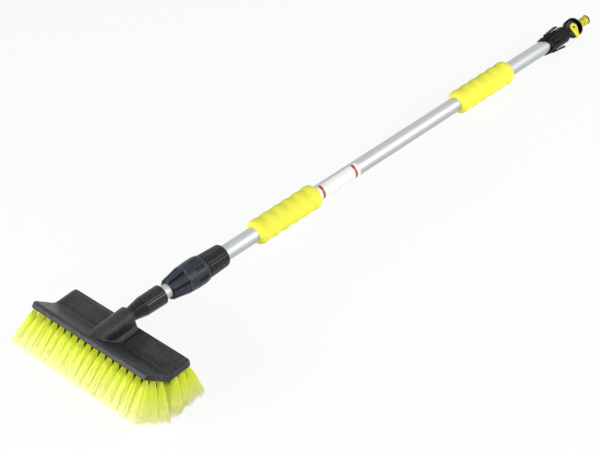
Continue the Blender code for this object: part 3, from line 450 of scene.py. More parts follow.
tube_radius = max(point.y for point in section_of("outer_tube", pole))
shape = bmesh.new()
share = shape.verts.layers.float.new("along")
rows = 40
columns = 32
layers = []
for radius in (tube_radius, tube_radius + film_thickness):
    grid = []
    for row in range(rows + 1):
        angles = [film_turn + film_half_turn * (2 * column / columns - 1) for column in range(columns + 1)]
        along = film_start + (film_end - film_start) * row / rows
        grid.append([shape.verts.new((radius * math.cos(a), along, radius * math.sin(a))) for a in angles])
        for vert in grid[-1]:
            vert[share] = row / rows
    for row in range(rows):
        for column in range(columns):
            corners = [(row, column), (row, column + 1), (row + 1, column + 1), (row + 1, column)]
            shape.faces.new([grid[i][j] for i, j in corners])
    layers.append(grid)
inner, outer = layers
rim = [(0, j) for j in range(columns)] + [(i, columns) for i in range(rows)]
rim += [(rows, j) for j in range(columns, 0, -1)] + [(i, 0) for i in range(rows, 0, -1)]
for (i, j), (m, n) in zip(rim, rim[1:] + rim[:1]):
    shape.faces.new((inner[i][j], inner[m][n], outer[m][n], outer[i][j]))
piece = new_piece("label_film", shape, film_finish("film_white", (0.86, 0.86, 0.85), (0.42, 0.045, 0.035)))
settled(piece, pole, "handle")

# %% [markdown]
# ## Grooves with Geometry Nodes
#
# The connector, the lock sleeve and the lock nut are all round bodies with the same
# groove repeated around them. They could be cut one by one with Booleans. Here one
# tree does them all: it takes the angle of each point about the local Y axis, finds
# where that is in its repeat, and pushes the point in by the depth of the groove.
# The groove's width, its soft edges and where it starts and ends are inputs. How deep
# each point went is kept in an attribute, by which the plastic paints shade into its grooves.
# Inside a tree's function, do() is the sum helper with that tree already given.

# %% The groove tree
def tree_inputs(tree, inputs):
    """Gives a Geometry Nodes tree its sockets, named under their kinds."""
    tree.interface.new_socket("Geometry", in_out="OUTPUT", socket_type="NodeSocketGeometry")
    tree.interface.new_socket("Geometry", in_out="INPUT", socket_type="NodeSocketGeometry")
    for kind, names in inputs.items():
        for name in names:
            tree.interface.new_socket(name, in_out="INPUT", socket_type="NodeSocket" + kind)
    return tree.nodes.new("NodeGroupInput").outputs


def stored(tree, geometry, name, value):
    """The geometry with a value kept on its points under a name."""
    values = {"Geometry": geometry, "Name": name, "Value": value}
    return add(tree, "GeometryNodeStoreNamedAttribute", values, data_type="FLOAT", domain="POINT").outputs[0]


def recalled(tree, name):
    """The value that each point keeps under a name."""
    return add(tree, "GeometryNodeInputNamedAttribute", {"Name": name}, data_type="FLOAT").outputs[0]


def point_place(tree):
    """The X, Y and Z of each point."""
    return add(tree, "ShaderNodeSeparateXYZ", {0: add(tree, "GeometryNodeInputPosition").outputs[0]}).outputs


def tree_end(tree, geometry, material):
    """Ends a tree in real mesh with its material."""
    real = add(tree, "GeometryNodeRealizeInstances", {"Geometry": geometry}).outputs["Geometry"]
    finished = add(tree, "GeometryNodeSetMaterial", {"Geometry": real, "Material": material})
    output = tree.nodes.new("NodeGroupOutput")
    tree.links.new(finished.outputs["Geometry"], output.inputs["Geometry"])


def groove_tree():
    """Pushes a groove into a round body, repeated about local Y."""
    tree = bpy.data.node_groups.new("grooves", "GeometryNodeTree")
    do = partial(calc, tree)
    given = tree_inputs(tree, {
        "Int": ("Count",),
        "Float": ("Turn", "Width Share", "Edge Share", "Start", "End", "End Run", "Depth", "Least Radius"),
        "Material": ("Material",),
    })
    place = point_place(tree)
    x_squared = do("MULTIPLY", place["X"], place["X"])
    z_squared = do("MULTIPLY", place["Z"], place["Z"])
    radius = do("SQRT", do("ADD", x_squared, z_squared))
    angle = do("SUBTRACT", do("ARCTAN2", place["Z"], place["X"]), given["Turn"])
    repeats = do("DIVIDE", do("MULTIPLY", angle, given["Count"]), math.tau)
    offset = do("ABSOLUTE", do("SUBTRACT", do("FRACT", repeats), 0.5))
    spread = do("MULTIPLY", offset, 2.0)
    inner = do("SUBTRACT", given["Width Share"], given["Edge Share"])
    outer = do("ADD", given["Width Share"], given["Edge Share"])
    round_mask = do("SUBTRACT", 1.0, smooth_step(tree, spread, inner, outer))
    start_end = do("ADD", given["Start"], given["End Run"])
    end_start = do("SUBTRACT", given["End"], given["End Run"])
    rise = smooth_step(tree, place["Y"], given["Start"], start_end)
    fall = do("SUBTRACT", 1.0, smooth_step(tree, place["Y"], end_start, given["End"]))
    mask = do("MULTIPLY", round_mask, do("MULTIPLY", rise, fall))
    push = do("DIVIDE", do("MULTIPLY", mask, given["Depth"]), radius)
    inward_x = do("MULTIPLY", do("MULTIPLY", place["X"], push), -1.0)
    inward_z = do("MULTIPLY", do("MULTIPLY", place["Z"], push), -1.0)
    inward = add(tree, "ShaderNodeCombineXYZ", {"X": inward_x, "Z": inward_z}).outputs[0]
    outside = do("GREATER_THAN", radius, given["Least Radius"])
    deepest = do("MAXIMUM", do("MULTIPLY", mask, outside), recalled(tree, "groove"))
    marked = stored(tree, given["Geometry"], "groove", deepest)
    moved = add(tree, "GeometryNodeSetPosition",
                {"Geometry": marked, "Selection": outside, "Offset": inward}).outputs[0]
    tree_end(tree, moved, given["Material"])
    return tree


grooves = groove_tree()


def add_nodes(piece, tree, values):
    """Puts a tree on a piece, with its inputs set by their identifiers."""
    step = piece.modifiers.new(tree.name, "NODES")
    step.node_group = tree
    for socket in tree.interface.items_tree:
        if socket.in_out == "INPUT" and socket.name in values:
            step[socket.identifier] = values[socket.name]


# %% [markdown]
# ## Head connector
#
# A glossy black piece is screwed between the block and the inner tube. It is ribbed
# all round for a firm hand: twenty-two round-backed ribs that run over its taper too.

# %% Head connector
connector_ribs = 22
sides_a_rib = 18
moulding_fillet = 0.0008
section_step = 0.0012
neck_radius = 0.0102
neck_margin = 0.0015
rim_margin = 0.0004
outline = section_of("head_connector", pole)
connector_end = max(point.x for point in outline)
neck_start = min(point.x for point in outline if point.y > neck_radius)
outline = divided(rounded(outline, moulding_fillet), section_step)
piece = spun("ribbed_connector", outline, connector_ribs * sides_a_rib)
add_nodes(piece, grooves, {
    "Count": connector_ribs,
    "Width Share": 0.30,
    "Edge Share": 0.15,
    "Start": neck_start + neck_margin,
    "End": connector_end - rim_margin,
    "End Run": 0.0012,
    "Depth": 0.0013,
    "Least Radius": 0.0105,
    "Material": finishes["gloss_black"],
})
settled(piece, pole, "pole_head", sharp=80)
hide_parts("head_connector")

# %% [markdown]
# ## Lock nut
#
# The twist nut is satin blue-grey. Eight tapered flutes give it grip, and behind them
# a band carries shallow windows, one between each two flutes, with a fine line
# between the cone and the band. Its section comes from a cut that runs beside the
# flutes, so the section is whole, and the grooves go in with the same tree.

# %% Lock nut
nut_turn = math.radians(-13)
nut_flutes = 8
sides_a_flute = 45
nut_section_step = 0.0009
pitch = math.tau / nut_flutes
flute_middle = 0.22
window_middle = 0.77
flute_lead = 0.01
flute_end = 0.0305
window_start = 0.0445
window_end = 0.0625
outline = section_of("lock_nut", pole, -nut_turn)
nut_start = min(point.x for point in outline)
nut_end = max(point.x for point in outline)
outline = divided(rounded(outline, moulding_fillet), nut_section_step)
piece = spun("fluted_nut", outline, nut_flutes * sides_a_flute)
flute = {
    "Turn": -nut_turn + pitch * flute_middle - pitch / 2,
    "Edge Share": 0.045,
    "Start": nut_start - flute_lead,
    "End": nut_start + flute_end,
    "End Run": 0.0014,
    "Depth": 0.0028,
    "Least Radius": 0.0145,
}
window = {
    "Turn": -nut_turn + pitch * window_middle - pitch / 2,
    "Edge Share": 0.03,
    "Start": nut_start + window_start,
    "End": nut_start + window_end,
    "End Run": 0.0006,
    "Depth": 0.0016,
    "Least Radius": 0.0172,
}
for cut in (flute, window):
    cut.update({"Count": nut_flutes, "Width Share": 0.36, "Material": finishes["nut_grey"]})
    add_nodes(piece, grooves, cut)
settled(piece, pole, "lock", sharp=50)
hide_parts("lock_nut")

# %% [markdown]
# ## Lock sleeve
#
# The nut screws on this sleeve, which is fixed on the end of the outer tube. Only its
# ribbed grip shows. The ribs stop short of both rims.

# %% Lock sleeve
sleeve_ribs = 24
sides_a_sleeve_rib = 16
sleeve_fillet = 0.0011
sleeve_front_margin = 0.0012
sleeve_rear_margin = 0.0022
outline = section_of("lock_sleeve", pole)
sleeve_end = max(point.x for point in outline)
outline = divided(rounded(outline, sleeve_fillet), section_step)
piece = spun("ribbed_sleeve", outline, sleeve_ribs * sides_a_sleeve_rib)
add_nodes(piece, grooves, {
    "Count": sleeve_ribs,
    "Width Share": 0.32,
    "Edge Share": 0.16,
    "Start": nut_end + sleeve_front_margin,
    "End": sleeve_end - sleeve_rear_margin,
    "End Run": 0.0016,
    "Depth": 0.0013,
    "Least Radius": 0.0175,
    "Material": finishes["sleeve_black"],
})
settled(piece, pole, "handle", sharp=80)
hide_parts("lock_sleeve")

# %% [markdown]
# ## Foam grips
#
# The grips are sleeves of closed-cell foam with finger waves, pushed on the tube while
# it is wet. Their skin shows fine pores, which a cell pattern and a noise give as bump.
# A slow noise fades the colour a little.

# %% Foam finish
cell_scale = 900.0
cell_weight = 0.6
pore_scale = 420.0
pore_depth = 0.00012
fading_scale = 25.0
fading_weight = 0.5
fading_ends = (0.45, 0.85)


def foam(name, colour, deep):
    """Closed-cell foam with fine pores."""
    material, tree, shader = principled(name)
    place = surface_place(tree)
    cells = add(tree, "ShaderNodeTexVoronoi", {"Vector": place, "Scale": cell_scale}).outputs["Distance"]
    pores = noise(tree, place, pore_scale, detail=4.0)
    slow = noise(tree, place, fading_scale, detail=2.0)
    bumped(tree, shader, calc(tree, "ADD", calc(tree, "MULTIPLY", cells, cell_weight), pores), pore_depth)
    fading = calc(tree, "ADD", pores, calc(tree, "MULTIPLY", slow, fading_weight))
    tint = blended(tree, smooth_step(tree, fading, *fading_ends), deep, colour)
    tree.links.new(tint, shader.inputs["Base Color"])
    shader.inputs["Roughness"].default_value = 0.88
    shader.inputs["Specular IOR Level"].default_value = 0.25
    return material


grip_yellow = foam("grip_yellow", (0.88, 0.865, 0.085), (0.80, 0.785, 0.06))

# %% [markdown]
# A grip could be subdivided from its solid, but its waves follow a plain rule, a cosine
# along the tube. So its outline is drawn from that rule, with quarter rounds at its ends,
# and spun. The skin is slightly uneven where the mould closed on the foam, for which a
# slow noise dents it by a fraction of a millimetre.

# %% Foam grips
grip_waves = 6
wave_height = 0.0012
grip_rounding = 0.0072
grip_skin = 0.0002
grip_steps = 110
grip_sides = 128


def grip_outline(start, end, bore, outside):
    """Waved sleeve with well rounded ends."""
    points = []
    for i in range(grip_steps + 1):
        share = i / grip_steps
        along = start + (end - start) * (1 - math.cos(math.pi * share)) / 2
        from_end = min(along - start, end - along)
        swell = wave_height * (1 - math.cos(math.tau * grip_waves * (along - start) / (end - start))) / 2
        radius = outside - wave_height + swell
        if from_end < grip_rounding:
            drop = grip_rounding - math.sqrt(max(0, grip_rounding ** 2 - (grip_rounding - from_end) ** 2))
            radius -= drop
        points.append(Vector((along, radius)))
    return points + [Vector((end, bore)), Vector((start, bore))]


dents = bpy.data.textures.new("grip_dents", "CLOUDS")
dents.noise_scale = 0.03
for node in ("lower_grip", "upper_grip"):
    outline = section_of(node, pole)
    start, end = min(p.x for p in outline), max(p.x for p in outline)
    bore, outside = min(p.y for p in outline), max(p.y for p in outline)
    outline = grip_outline(start, end, bore, outside + grip_skin)
    piece = spun("foam_" + node, outline, grip_sides, grip_yellow)
    press = piece.modifiers.new("dents", "DISPLACE")
    press.texture = dents
    press.strength = 0.0006
    press.mid_level = 0.5
    settled(piece, pole, "handle", sharp=60)
    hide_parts(node)

# %% [markdown]
# ## Brush block
#
# The block is one thick moulding: a level rear flange, a raised front flange that ends
# in a fat lip, and the pole socket that grows out of both. Its solid has sharp inner
# corners. A voxel remesh at a millimetre, with some smoothing, turns them into the
# soft fillets of a moulding in one step, which bevels could not do where the socket
# runs into the two flanges.

# %% Brush block
piece = new_piece("moulded_block", merged("brush_block"), finishes["block_black"])
remesh = piece.modifiers.new("remesh", "REMESH")
remesh.mode = "VOXEL"
remesh.voxel_size = 0.00105
soften = piece.modifiers.new("soften", "SMOOTH")
soften.factor = 0.5
soften.iterations = 5
settled(piece, in_place, "pole_head", sharp=70)
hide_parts("brush_block")

# %% [markdown]
# ## Bristles
#
# Each row is a line of drilled holes, and each hole holds one tuft, folded and pinned
# in, whose bristles spread towards their tips. They are a neon, fluorescent yellow-green,
# and the finish has a faint painted glow in its own colour: it stands in for the
# fluorescent dye and, as painted light, lifts the bristles that lie in the shade of
# their neighbours. Roots deep in the field get no light and look dark. The glow would
# hide that, so an attribute says which bristles they are and the finish paints shade on them.

# %% Bristle finish
# A faint painted glow of the bristles' own colour, for the fluorescent dye and as painted light.
bristle_painted_glow = 0.14
middle_share = 0.35
darkest_tone = 0.80
shaded_shares = (0.18, 0.42)


def bristle_finish(name, root, middle, tip, shaded):
    """Yellow-green plastic, paler at the tips, with a faint painted glow and painted shade at the hidden
    roots.
    """
    material, tree, shader = principled(name)
    along = attribute(tree, "along")
    ramp = add(tree, "ShaderNodeValToRGB", {"Fac": along})
    ramp.color_ramp.elements[0].color = (*root, 1)
    ramp.color_ramp.elements[1].color = (*tip, 1)
    ramp.color_ramp.elements.new(middle_share).color = (*middle, 1)
    ends = {"Value": attribute(tree, "tone"), "To Min": darkest_tone, "To Max": 1.0}
    tone = add(tree, "ShaderNodeMapRange", ends).outputs["Result"]
    toned = {"Value": tone, "Color": ramp.outputs["Color"]}
    tint = add(tree, "ShaderNodeHueSaturation", toned).outputs["Color"]
    # Painted shade: the roots of bristles marked hidden darken towards the shaded colour.
    unlit = calc(tree, "SUBTRACT", 1.0, smooth_step(tree, along, *shaded_shares))
    tint = blended(tree, calc(tree, "MULTIPLY", attribute(tree, "hidden"), unlit), tint, shaded)
    tree.links.new(tint, shader.inputs["Base Color"])
    shader.inputs["Roughness"].default_value = 0.42
    # Painted glow: the finish emits its own colour faintly, though the bristles are no lamp.
    tree.links.new(tint, shader.inputs["Emission Color"])
    shader.inputs["Emission Strength"].default_value = bristle_painted_glow
    return material


bristle_yellow = bristle_finish(
    "bristle_yellow", (0.78, 0.86, 0.05), (0.92, 1.0, 0.10), (1.0, 1.0, 0.52), (0.02, 0.028, 0.001))

# %% [markdown]
# Some five thousand bristles a row could be hair, but the export needs real mesh. So the
# row is one Geometry Nodes tree: it makes a point for each bristle, works out which tuft
# it belongs to, stands a thin three-sided bristle there and bends it a little. The tree
# works in the row's own axes: X along the row, Y across it and Z out of the block. The
# brush stands on its tips, so a bristle that would go through the floor is shortened.

# %% The tuft tree
end_tuft_side = 0.99
least_drop = 0.001


def tuft_tree():
    """A row of tufts of spreading bristles with ragged tips, none through the floor."""
    tree = bpy.data.node_groups.new("tufts", "GeometryNodeTree")
    do = partial(calc, tree)
    given = tree_inputs(tree, {
        "Int": ("Tufts", "Bristles", "Seed"),
        "Float": ("Run", "Length", "Lean", "Fan", "Root Half Width", "Root Half Depth", "Tip Half Width",
                  "Tip Half Depth", "Thickness", "Bend", "Ragged", "Root Height", "Across Rise", "Out Rise",
                  "Hidden"),
        "Material": ("Material",),
    })
    count = do("MULTIPLY", given["Tufts"], given["Bristles"])
    points = add(tree, "GeometryNodePoints", {"Count": count}).outputs[0]
    index = add(tree, "GeometryNodeInputIndex").outputs[0]

    def chance(offset, low=0.0, high=1.0):
        """A random number of each bristle's own, from the row's seed and an offset."""
        seed = do("ADD", given["Seed"], float(offset))
        spread = {"Min": low, "Max": high, "ID": index, "Seed": seed}
        node = tree.nodes.new("FunctionNodeRandomValue")
        for socket in node.inputs:
            if socket.enabled and socket.name in spread:
                if isinstance(spread[socket.name], bpy.types.NodeSocket):
                    tree.links.new(spread[socket.name], socket)
                else:
                    socket.default_value = spread[socket.name]
        return [socket for socket in node.outputs if socket.enabled][0]

    tuft = do("FLOOR", do("DIVIDE", index, given["Bristles"]))
    last_tuft = do("SUBTRACT", given["Tufts"], 1.0)
    side = do("SUBTRACT", do("MULTIPLY", do("DIVIDE", tuft, last_tuft), 2.0), 1.0)
    middle = do("MULTIPLY", side, do("DIVIDE", given["Run"], 2.0))
    fan = do("MULTIPLY", given["Fan"], do("POWER", side, 3.0))
    turn = chance(1, 0.0, math.tau)
    reach = do("SQRT", chance(2))
    disc_x = do("MULTIPLY", reach, do("COSINE", turn))
    disc_y = do("MULTIPLY", reach, do("SINE", turn))
    root_x = do("MULTIPLY_ADD", disc_x, given["Root Half Width"], middle)
    root_y = do("MULTIPLY", disc_y, given["Root Half Depth"])
    root = add(tree, "ShaderNodeCombineXYZ", {"X": root_x, "Y": root_y}).outputs[0]
    length = do("SUBTRACT", given["Length"], do("MULTIPLY", given["Ragged"], chance(3)))
    lean_run = do("MULTIPLY", do("TANGENT", given["Lean"]), length)
    fan_run = do("MULTIPLY", do("TANGENT", fan), length)
    flare_x = do("SUBTRACT", given["Tip Half Width"], given["Root Half Width"])
    flare_y = do("SUBTRACT", given["Tip Half Depth"], given["Root Half Depth"])
    way_x = do("MULTIPLY_ADD", disc_x, flare_x, fan_run)
    way_y = do("MULTIPLY_ADD", disc_y, flare_y, lean_run)
    tip_rise = do("MULTIPLY", way_y, given["Across Rise"])
    tip_rise = do("MULTIPLY_ADD", length, given["Out Rise"], tip_rise)
    tip_drop = do("MAXIMUM", do("MULTIPLY", tip_rise, -1.0), least_drop)
    share = do("MINIMUM", do("DIVIDE", given["Root Height"], tip_drop), 1.0)
    way = add(tree, "ShaderNodeCombineXYZ", {"X": way_x, "Y": way_y, "Z": length}).outputs[0]
    way = add(tree, "ShaderNodeVectorMath", {0: way, "Scale": share}, operation="SCALE").outputs[0]
    travel = add(tree, "ShaderNodeVectorMath", {0: way}, operation="LENGTH").outputs["Value"]
    placed = add(tree, "GeometryNodeSetPosition", {"Geometry": points, "Position": root}).outputs[0]
    # Bristles of the inner rows, but not of their end tufts, are marked for painted shade at their roots.
    inside = do("LESS_THAN", do("ABSOLUTE", side), end_tuft_side)
    toned = stored(tree, placed, "tone", chance(4))
    toned = stored(tree, toned, "hidden", do("MULTIPLY", inside, given["Hidden"]))
    swayed = stored(tree, toned, "sway", chance(5, 0.0, math.tau))
    bristle = add(tree, "GeometryNodeMeshCone",
                  {"Vertices": 3, "Side Segments": 4, "Radius Bottom": 1.0, "Radius Top": 0.8, "Depth": 1.0})
    marked = stored(tree, bristle.outputs["Mesh"], "along", point_place(tree)["Z"])
    facing = add(tree, "FunctionNodeAlignRotationToVector", {"Vector": way}, axis="Z").outputs["Rotation"]
    half = do("DIVIDE", given["Thickness"], 2.0)
    size = add(tree, "ShaderNodeCombineXYZ", {"X": half, "Y": half, "Z": travel}).outputs[0]
    stood = add(tree, "GeometryNodeInstanceOnPoints",
                {"Points": swayed, "Instance": marked, "Rotation": facing, "Scale": size}).outputs[0]
    real = add(tree, "GeometryNodeRealizeInstances", {"Geometry": stood}).outputs[0]
    arch = do("SINE", do("MULTIPLY", recalled(tree, "along"), math.pi))
    bow = do("MULTIPLY", arch, given["Bend"])
    sway = recalled(tree, "sway")
    bow_x = do("MULTIPLY", bow, do("COSINE", sway))
    bow_y = do("MULTIPLY", bow, do("SINE", sway))
    shift = add(tree, "ShaderNodeCombineXYZ", {"X": bow_x, "Y": bow_y}).outputs[0]
    bent = add(tree, "GeometryNodeSetPosition", {"Geometry": real, "Offset": shift}).outputs[0]
    place = point_place(tree)
    above = do("MULTIPLY_ADD", place["Y"], given["Across Rise"], given["Root Height"])
    above = do("MULTIPLY_ADD", place["Z"], given["Out Rise"], above)
    drop = do("MULTIPLY", given["Out Rise"], -1.0)
    excess = do("DIVIDE", do("MINIMUM", above, 0.0), drop)
    raised = add(tree, "ShaderNodeCombineXYZ", {"Z": excess}).outputs[0]
    bent = add(tree, "GeometryNodeSetPosition", {"Geometry": bent, "Offset": raised}).outputs[0]
    joined = tree.nodes.new("GeometryNodeJoinGeometry")
    tree.links.new(bent, joined.inputs[0])
    tree.links.new(given["Geometry"], joined.inputs[0])
    tree_end(tree, joined.outputs[0], given["Material"])
    return tree


tufts = tuft_tree()

# %% [markdown]
# Each row's place comes from the strip of backing that its solid starts with. Its
# lean is that of the solid, told from the flange that it stands on: the rear rows
# stand on the level flange, the front rows on the raised one. The inner rows get
# painted shade at their roots; only the first and the last row, and the tufts at the
# two ends of every row, show their roots in the plain colour.

# %% Bristle rows
flange_rise = math.radians(40.8)
backing_thickness = 0.003
backing_flatness = 1e-5
tuft_width = 0.0066
backing_rim = 0.0005
bristle_length = 0.0615
front_tip_half_depth = 0.0165
rear_tip_half_depth = 0.0130
outermost_rows = ("bristles_rear_1", "bristles_front_3")
seed_step = 10
# The lean of each row, and how far its end tufts fan out along it, both in degrees.
bristle_rows = {
    "bristles_rear_1": (-6, 1),
    "bristles_rear_2": (4, 2),
    "bristles_rear_3": (14, 3),
    "bristles_front_1": (14, 4),
    "bristles_front_2": (30, 9),
    "bristles_front_3": (43, 11),
}


def row_matrix(node, rise):
    """Axes of a row, with the origin at the middle of its roots, and its half length."""
    tangent = Vector((0, -math.cos(rise), math.sin(rise)))
    outward = Vector((1, 0, 0)).cross(tangent)
    places = [vert.co for vert in nodes[node].data.vertices]
    back = min(place.dot(outward) for place in places)
    rim = [place for place in places if place.dot(outward) < back + backing_flatness]
    middle = sum(rim, Vector()) / len(rim)
    middle.x = 0
    matrix = line_matrix(middle + outward * backing_thickness, Vector((1, 0, 0)), tangent)
    return matrix, max(place.x for place in rim)


def backing_strip(name, half_length):
    """The strip that the tufts of a row stand on, with its open side at Z = 0."""
    shape = bmesh.new()
    bmesh.ops.create_cube(shape, size=1)
    size = Matrix.Diagonal((2 * half_length, tuft_width, backing_thickness, 1))
    shape.transform(Matrix.Translation((0, 0, -backing_thickness / 2)) @ size)
    return new_piece(name, shape)


for number, (node, (lean, fan)) in enumerate(bristle_rows.items()):
    rise = flange_rise if "front" in node else 0.0
    matrix, half_length = row_matrix(node, rise)
    piece = backing_strip("soft_" + node, half_length)
    add_nodes(piece, tufts, {
        "Tufts": 17,
        "Bristles": 280,
        "Run": 2 * (half_length - backing_rim) - tuft_width,
        "Length": bristle_length,
        "Lean": math.radians(lean) - rise,
        "Fan": math.radians(fan),
        "Root Half Width": 0.0035,
        "Root Half Depth": 0.0028,
        "Tip Half Width": 0.0098,
        "Tip Half Depth": front_tip_half_depth if "front" in node else rear_tip_half_depth,
        "Thickness": 0.00042,
        "Bend": 0.0022,
        "Ragged": 0.0025,
        "Root Height": matrix.translation.z,
        "Across Rise": math.sin(rise),
        "Out Rise": -math.cos(rise),
        "Hidden": 0.0 if node in outermost_rows else 1.0,
        "Seed": seed_step * number,
        "Material": bristle_yellow,
    })
    settled(piece, matrix, "pole_head", sharp=180)
    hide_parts(node)

# %% [markdown]
# ## End cap, valve and lever
#
# These keep the outline of their solids. The solids are welded, their edges are
# rounded with a bevel, and they are shaded smooth. The spring ears of the cap and the
# lever are swelled by less than a millimetre: they look fuller in the photo than their
# solids, which need running room.

# %% End cap, valve and lever
flat_angle = math.radians(0.5)
edge_angle = math.radians(35)
edge_width = 0.0003


def eased(node, name, material, width=edge_width):
    """A welded copy of a solid with rounded edges."""
    shape = merged(node)
    bmesh.ops.dissolve_limit(shape, angle_limit=flat_angle, verts=shape.verts, edges=shape.edges)
    piece = new_piece(name, shape, material)
    bevel = piece.modifiers.new("edges", "BEVEL")
    bevel.width = width
    bevel.segments = 2
    bevel.limit_method = "ANGLE"
    bevel.angle_limit = edge_angle
    return piece


ear_from = 0.0164
ear_swell = 0.0008
piece = eased("end_cap", "moulded_end_cap", finishes["cap_black"])
to_pole = pole.inverted()
for vert in piece.data.vertices:
    place = to_pole @ vert.co
    if math.hypot(place.x, place.z) > ear_from:
        vert.co += vert.normal * ear_swell
        vert.co.z = max(vert.co.z, 0.0)
settled(piece, in_place, "handle")
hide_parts("end_cap")
piece = eased("valve_body", "moulded_valve_body", finishes["valve_black"])
settled(piece, in_place, "handle")
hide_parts("valve_body")

lever_swell = 0.0005
piece = eased("valve_lever", "moulded_lever", finishes["lever_yellow"], width=0.0004)
for vert in piece.data.vertices:
    across = vert.normal - stem_way * vert.normal.dot(stem_way)
    vert.co += across * lever_swell
settled(piece, in_place, "valve")
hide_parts("valve_lever")

# %% [markdown]
# The strip of the cap beside its ear carries low cross ribs. They are small arcs about
# the pole, which stand on the cap's round wall with their feet sunk in it.

# %% Cross ribs of the cap
rib_count = 9
rib_first = math.radians(80)
rib_last = math.radians(112)
rib_pitch = 0.0031
rib_width = 0.0013
rib_height = 0.0005
rib_foot = 0.0004
rib_steps = 10
rib_slope = 0.25
ribs_behind_rim = 0.0135
wall_limit = 0.0156
cap_points = [to_pole @ vert.co for vert in nodes["end_cap"].data.vertices]
ribs_start = min(point.y for point in cap_points) + ribs_behind_rim
cap_radii = [math.hypot(point.x, point.z) for point in cap_points if point.y > ribs_start]
wall = max(radius for radius in cap_radii if radius < wall_limit)
shape = bmesh.new()
for number in range(rib_count):
    near = ribs_start + number * rib_pitch
    rings = []
    for step in range(rib_steps + 1):
        angle = rib_first + (rib_last - rib_first) * step / rib_steps
        sides = ((wall - rib_foot, near), (wall + rib_height, near + rib_width * rib_slope),
                 (wall + rib_height, near + rib_width * (1 - rib_slope)), (wall - rib_foot, near + rib_width))
        places = [(r * math.cos(angle), along, r * math.sin(angle)) for r, along in sides]
        rings.append([shape.verts.new(place) for place in places])
    for one, other in zip(rings, rings[1:]):
        for j in range(4):
            shape.faces.new((one[j - 1], one[j], other[j], other[j - 1]))
    shape.faces.new(rings[0])
    shape.faces.new(rings[-1])
piece = new_piece("cap_cross_ribs", shape, finishes["cap_black"])
settled(piece, pole, "handle")

# %% [markdown]
# ## Hose plug
#
# The plug and its O-ring are round, but about the valve's own line and not the pole's.
# A bevel on the solid would keep its few sides, so both are spun again from their
# sections. The rubber ring bulges out of its seat, so its section is swelled a little.

# %% Hose plug
plug_sides = 96
plug_fillet = 0.0004
ring_fillet = 0.0006
ring_swell = 0.0006
outline = section_of("hose_nipple", valve)
piece = spun("moulded_nipple", rounded(outline, plug_fillet), plug_sides, finishes["nipple_yellow"])
settled(piece, valve, "handle")
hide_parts("hose_nipple")

outline = section_of("nipple_ring", valve)
middle = sum(outline, Vector((0, 0))) / len(outline)
outline = [point + (point - middle).normalized() * ring_swell for point in outline]
piece = spun("plug_ring", rounded(outline, ring_fillet), plug_sides, finishes["seal_rubber"])
settled(piece, valve, "handle")
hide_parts("nipple_ring")

# %% [markdown]
# ## Finishes of the pieces inside
#
# The seals, the clamp ring, the piston and the insides of the valve are hidden or
# nearly so. Their solids stay as they are, each with the finish of its material.

# %% Finishes of the solids that stay
seals = ("piston_ring_front", "piston_ring_rear", "socket_washer", "tube_seal", "stem_ring", "nipple_seal")
kept_solids = (
    (finishes["cap_black"], ("guide_piston",)),
    (finishes["seal_rubber"], seals),
    (finishes["seat_white"], ("clamp_ring", "ball_seat_inlet", "ball_seat_outlet")),
    (turned_brass, ("valve_ball", "valve_stem")),
    (screw_steel, ("lever_screw",)),
)
for material, kept in kept_solids:
    for node in kept:
        nodes[node].material_slots[0].material = material

# %% [markdown]
# ## Floor, light and camera
#
# The photograph is a studio shot on white. More light would make the background white,
# but it would also bleach the brush. So the floor and the world are white only to the
# rays that show or mirror them, which Light Path tells apart, and the lamps stay at a
# level at which a colour renders about as it is written. The floor keeps a share of its
# plain surface, so that the shadow shows on it.

# %% Floor and world
floor_reach = 20.0
floor_glow = 0.88
world_light = 0.34
world_glow = 0.66


def seen_share(tree):
    """1 for the rays that show or mirror the studio, and 0 for those that light the brush."""
    path = add(tree, "ShaderNodeLightPath").outputs
    seen = calc(tree, "MAXIMUM", path["Is Camera Ray"], path["Is Glossy Ray"])
    return calc(tree, "MAXIMUM", seen, path["Is Transmission Ray"])


floor_shape = bmesh.new()
bmesh.ops.create_grid(floor_shape, x_segments=1, y_segments=1, size=floor_reach)
floor = new_piece("studio_floor", floor_shape)
for polygon in floor.data.polygons:
    if polygon.normal.z < 0:
        polygon.flip()
material, tree, shader = principled("floor_white")
shader.inputs["Base Color"].default_value = (0.86, 0.86, 0.86, 1)
shader.inputs["Roughness"].default_value = 0.9
glow = add(tree, "ShaderNodeEmission", {"Color": (1, 1, 1, 1), "Strength": 1.0}).outputs[0]
glow_share = calc(tree, "MULTIPLY", seen_share(tree), floor_glow)
mix = add(tree, "ShaderNodeMixShader", {0: glow_share, 1: shader.outputs[0], 2: glow})
tree.links.new(mix.outputs[0], tree.nodes["Material Output"].inputs["Surface"])
floor.data.materials.append(material)

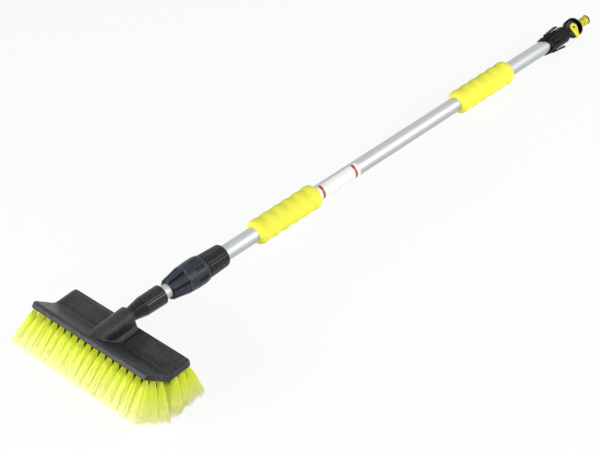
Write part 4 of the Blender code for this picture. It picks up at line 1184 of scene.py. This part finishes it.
world = bpy.data.worlds.new("studio")
bpy.context.scene.world = world
world.use_nodes = True
tree = world.node_tree
strength = calc(tree, "ADD", calc(tree, "MULTIPLY", seen_share(tree), world_glow), world_light)
background = tree.nodes["Background"]
background.inputs["Color"].default_value = (1, 1, 1, 1)
tree.links.new(strength, background.inputs["Strength"])

# %% [markdown]
# Three soft lamps and the pale world light the brush. The main lamp is long and low,
# beside the hose end on the +X side. One in front of the brush block lights the bristles
# and the lip, and a weak one near the camera fills the shadows.

# %% Lamps
def lamp(name, place, target, length, width, power, along=(0, 1, 0)):
    """A soft lamp that looks at a point, with its long side along a direction."""
    light = bpy.data.lights.new(name, "AREA")
    light.shape = "RECTANGLE"
    light.size = width
    light.size_y = length
    light.energy = power
    holder = bpy.data.objects.new(name, light)
    bpy.context.scene.collection.objects.link(holder)
    away = (Vector(place) - Vector(target)).normalized()
    side = Vector(along).cross(away).normalized()
    matrix = Matrix((side, away.cross(side), away)).transposed().to_4x4()
    matrix.translation = place
    holder.matrix_world = matrix


lamp("key_lamp", place=(1.75, 1.3, 1.0), target=(0, 1.3, 0.05), length=2.5, width=1.3, power=42.0)
lamp("front_lamp", place=(-0.5, -2.1, 0.75), target=(0, -0.5, 0.05), length=1.2, width=0.6, power=36.0,
     along=(1, 0, 0))
lamp("fill_lamp", place=(1.7, -1.7, 1.35), target=(0, -0.2, 0.05), length=1.4, width=1.0, power=13.0)

# %% [markdown]
# The camera was fitted to the photograph from the direction of the pole and that of the
# brush block, which are square to each other. Its place is in metres, and its turns are
# in degrees.

# %% Camera
camera_turns = (51.3211, 7.9485, 44.9471)
camera_data = bpy.data.cameras.new("camera")
camera = bpy.data.objects.new("camera", camera_data)
bpy.context.scene.collection.objects.link(camera)
camera.location = (1.68065, -1.47892, 1.72487)
camera.rotation_euler = [math.radians(angle) for angle in camera_turns]
camera_data.sensor_width = 36.0
camera_data.lens = 104.99
camera_data.clip_end = 60.0
bpy.context.scene.camera = camera
bpy.context.scene.view_settings.view_transform = "Standard"
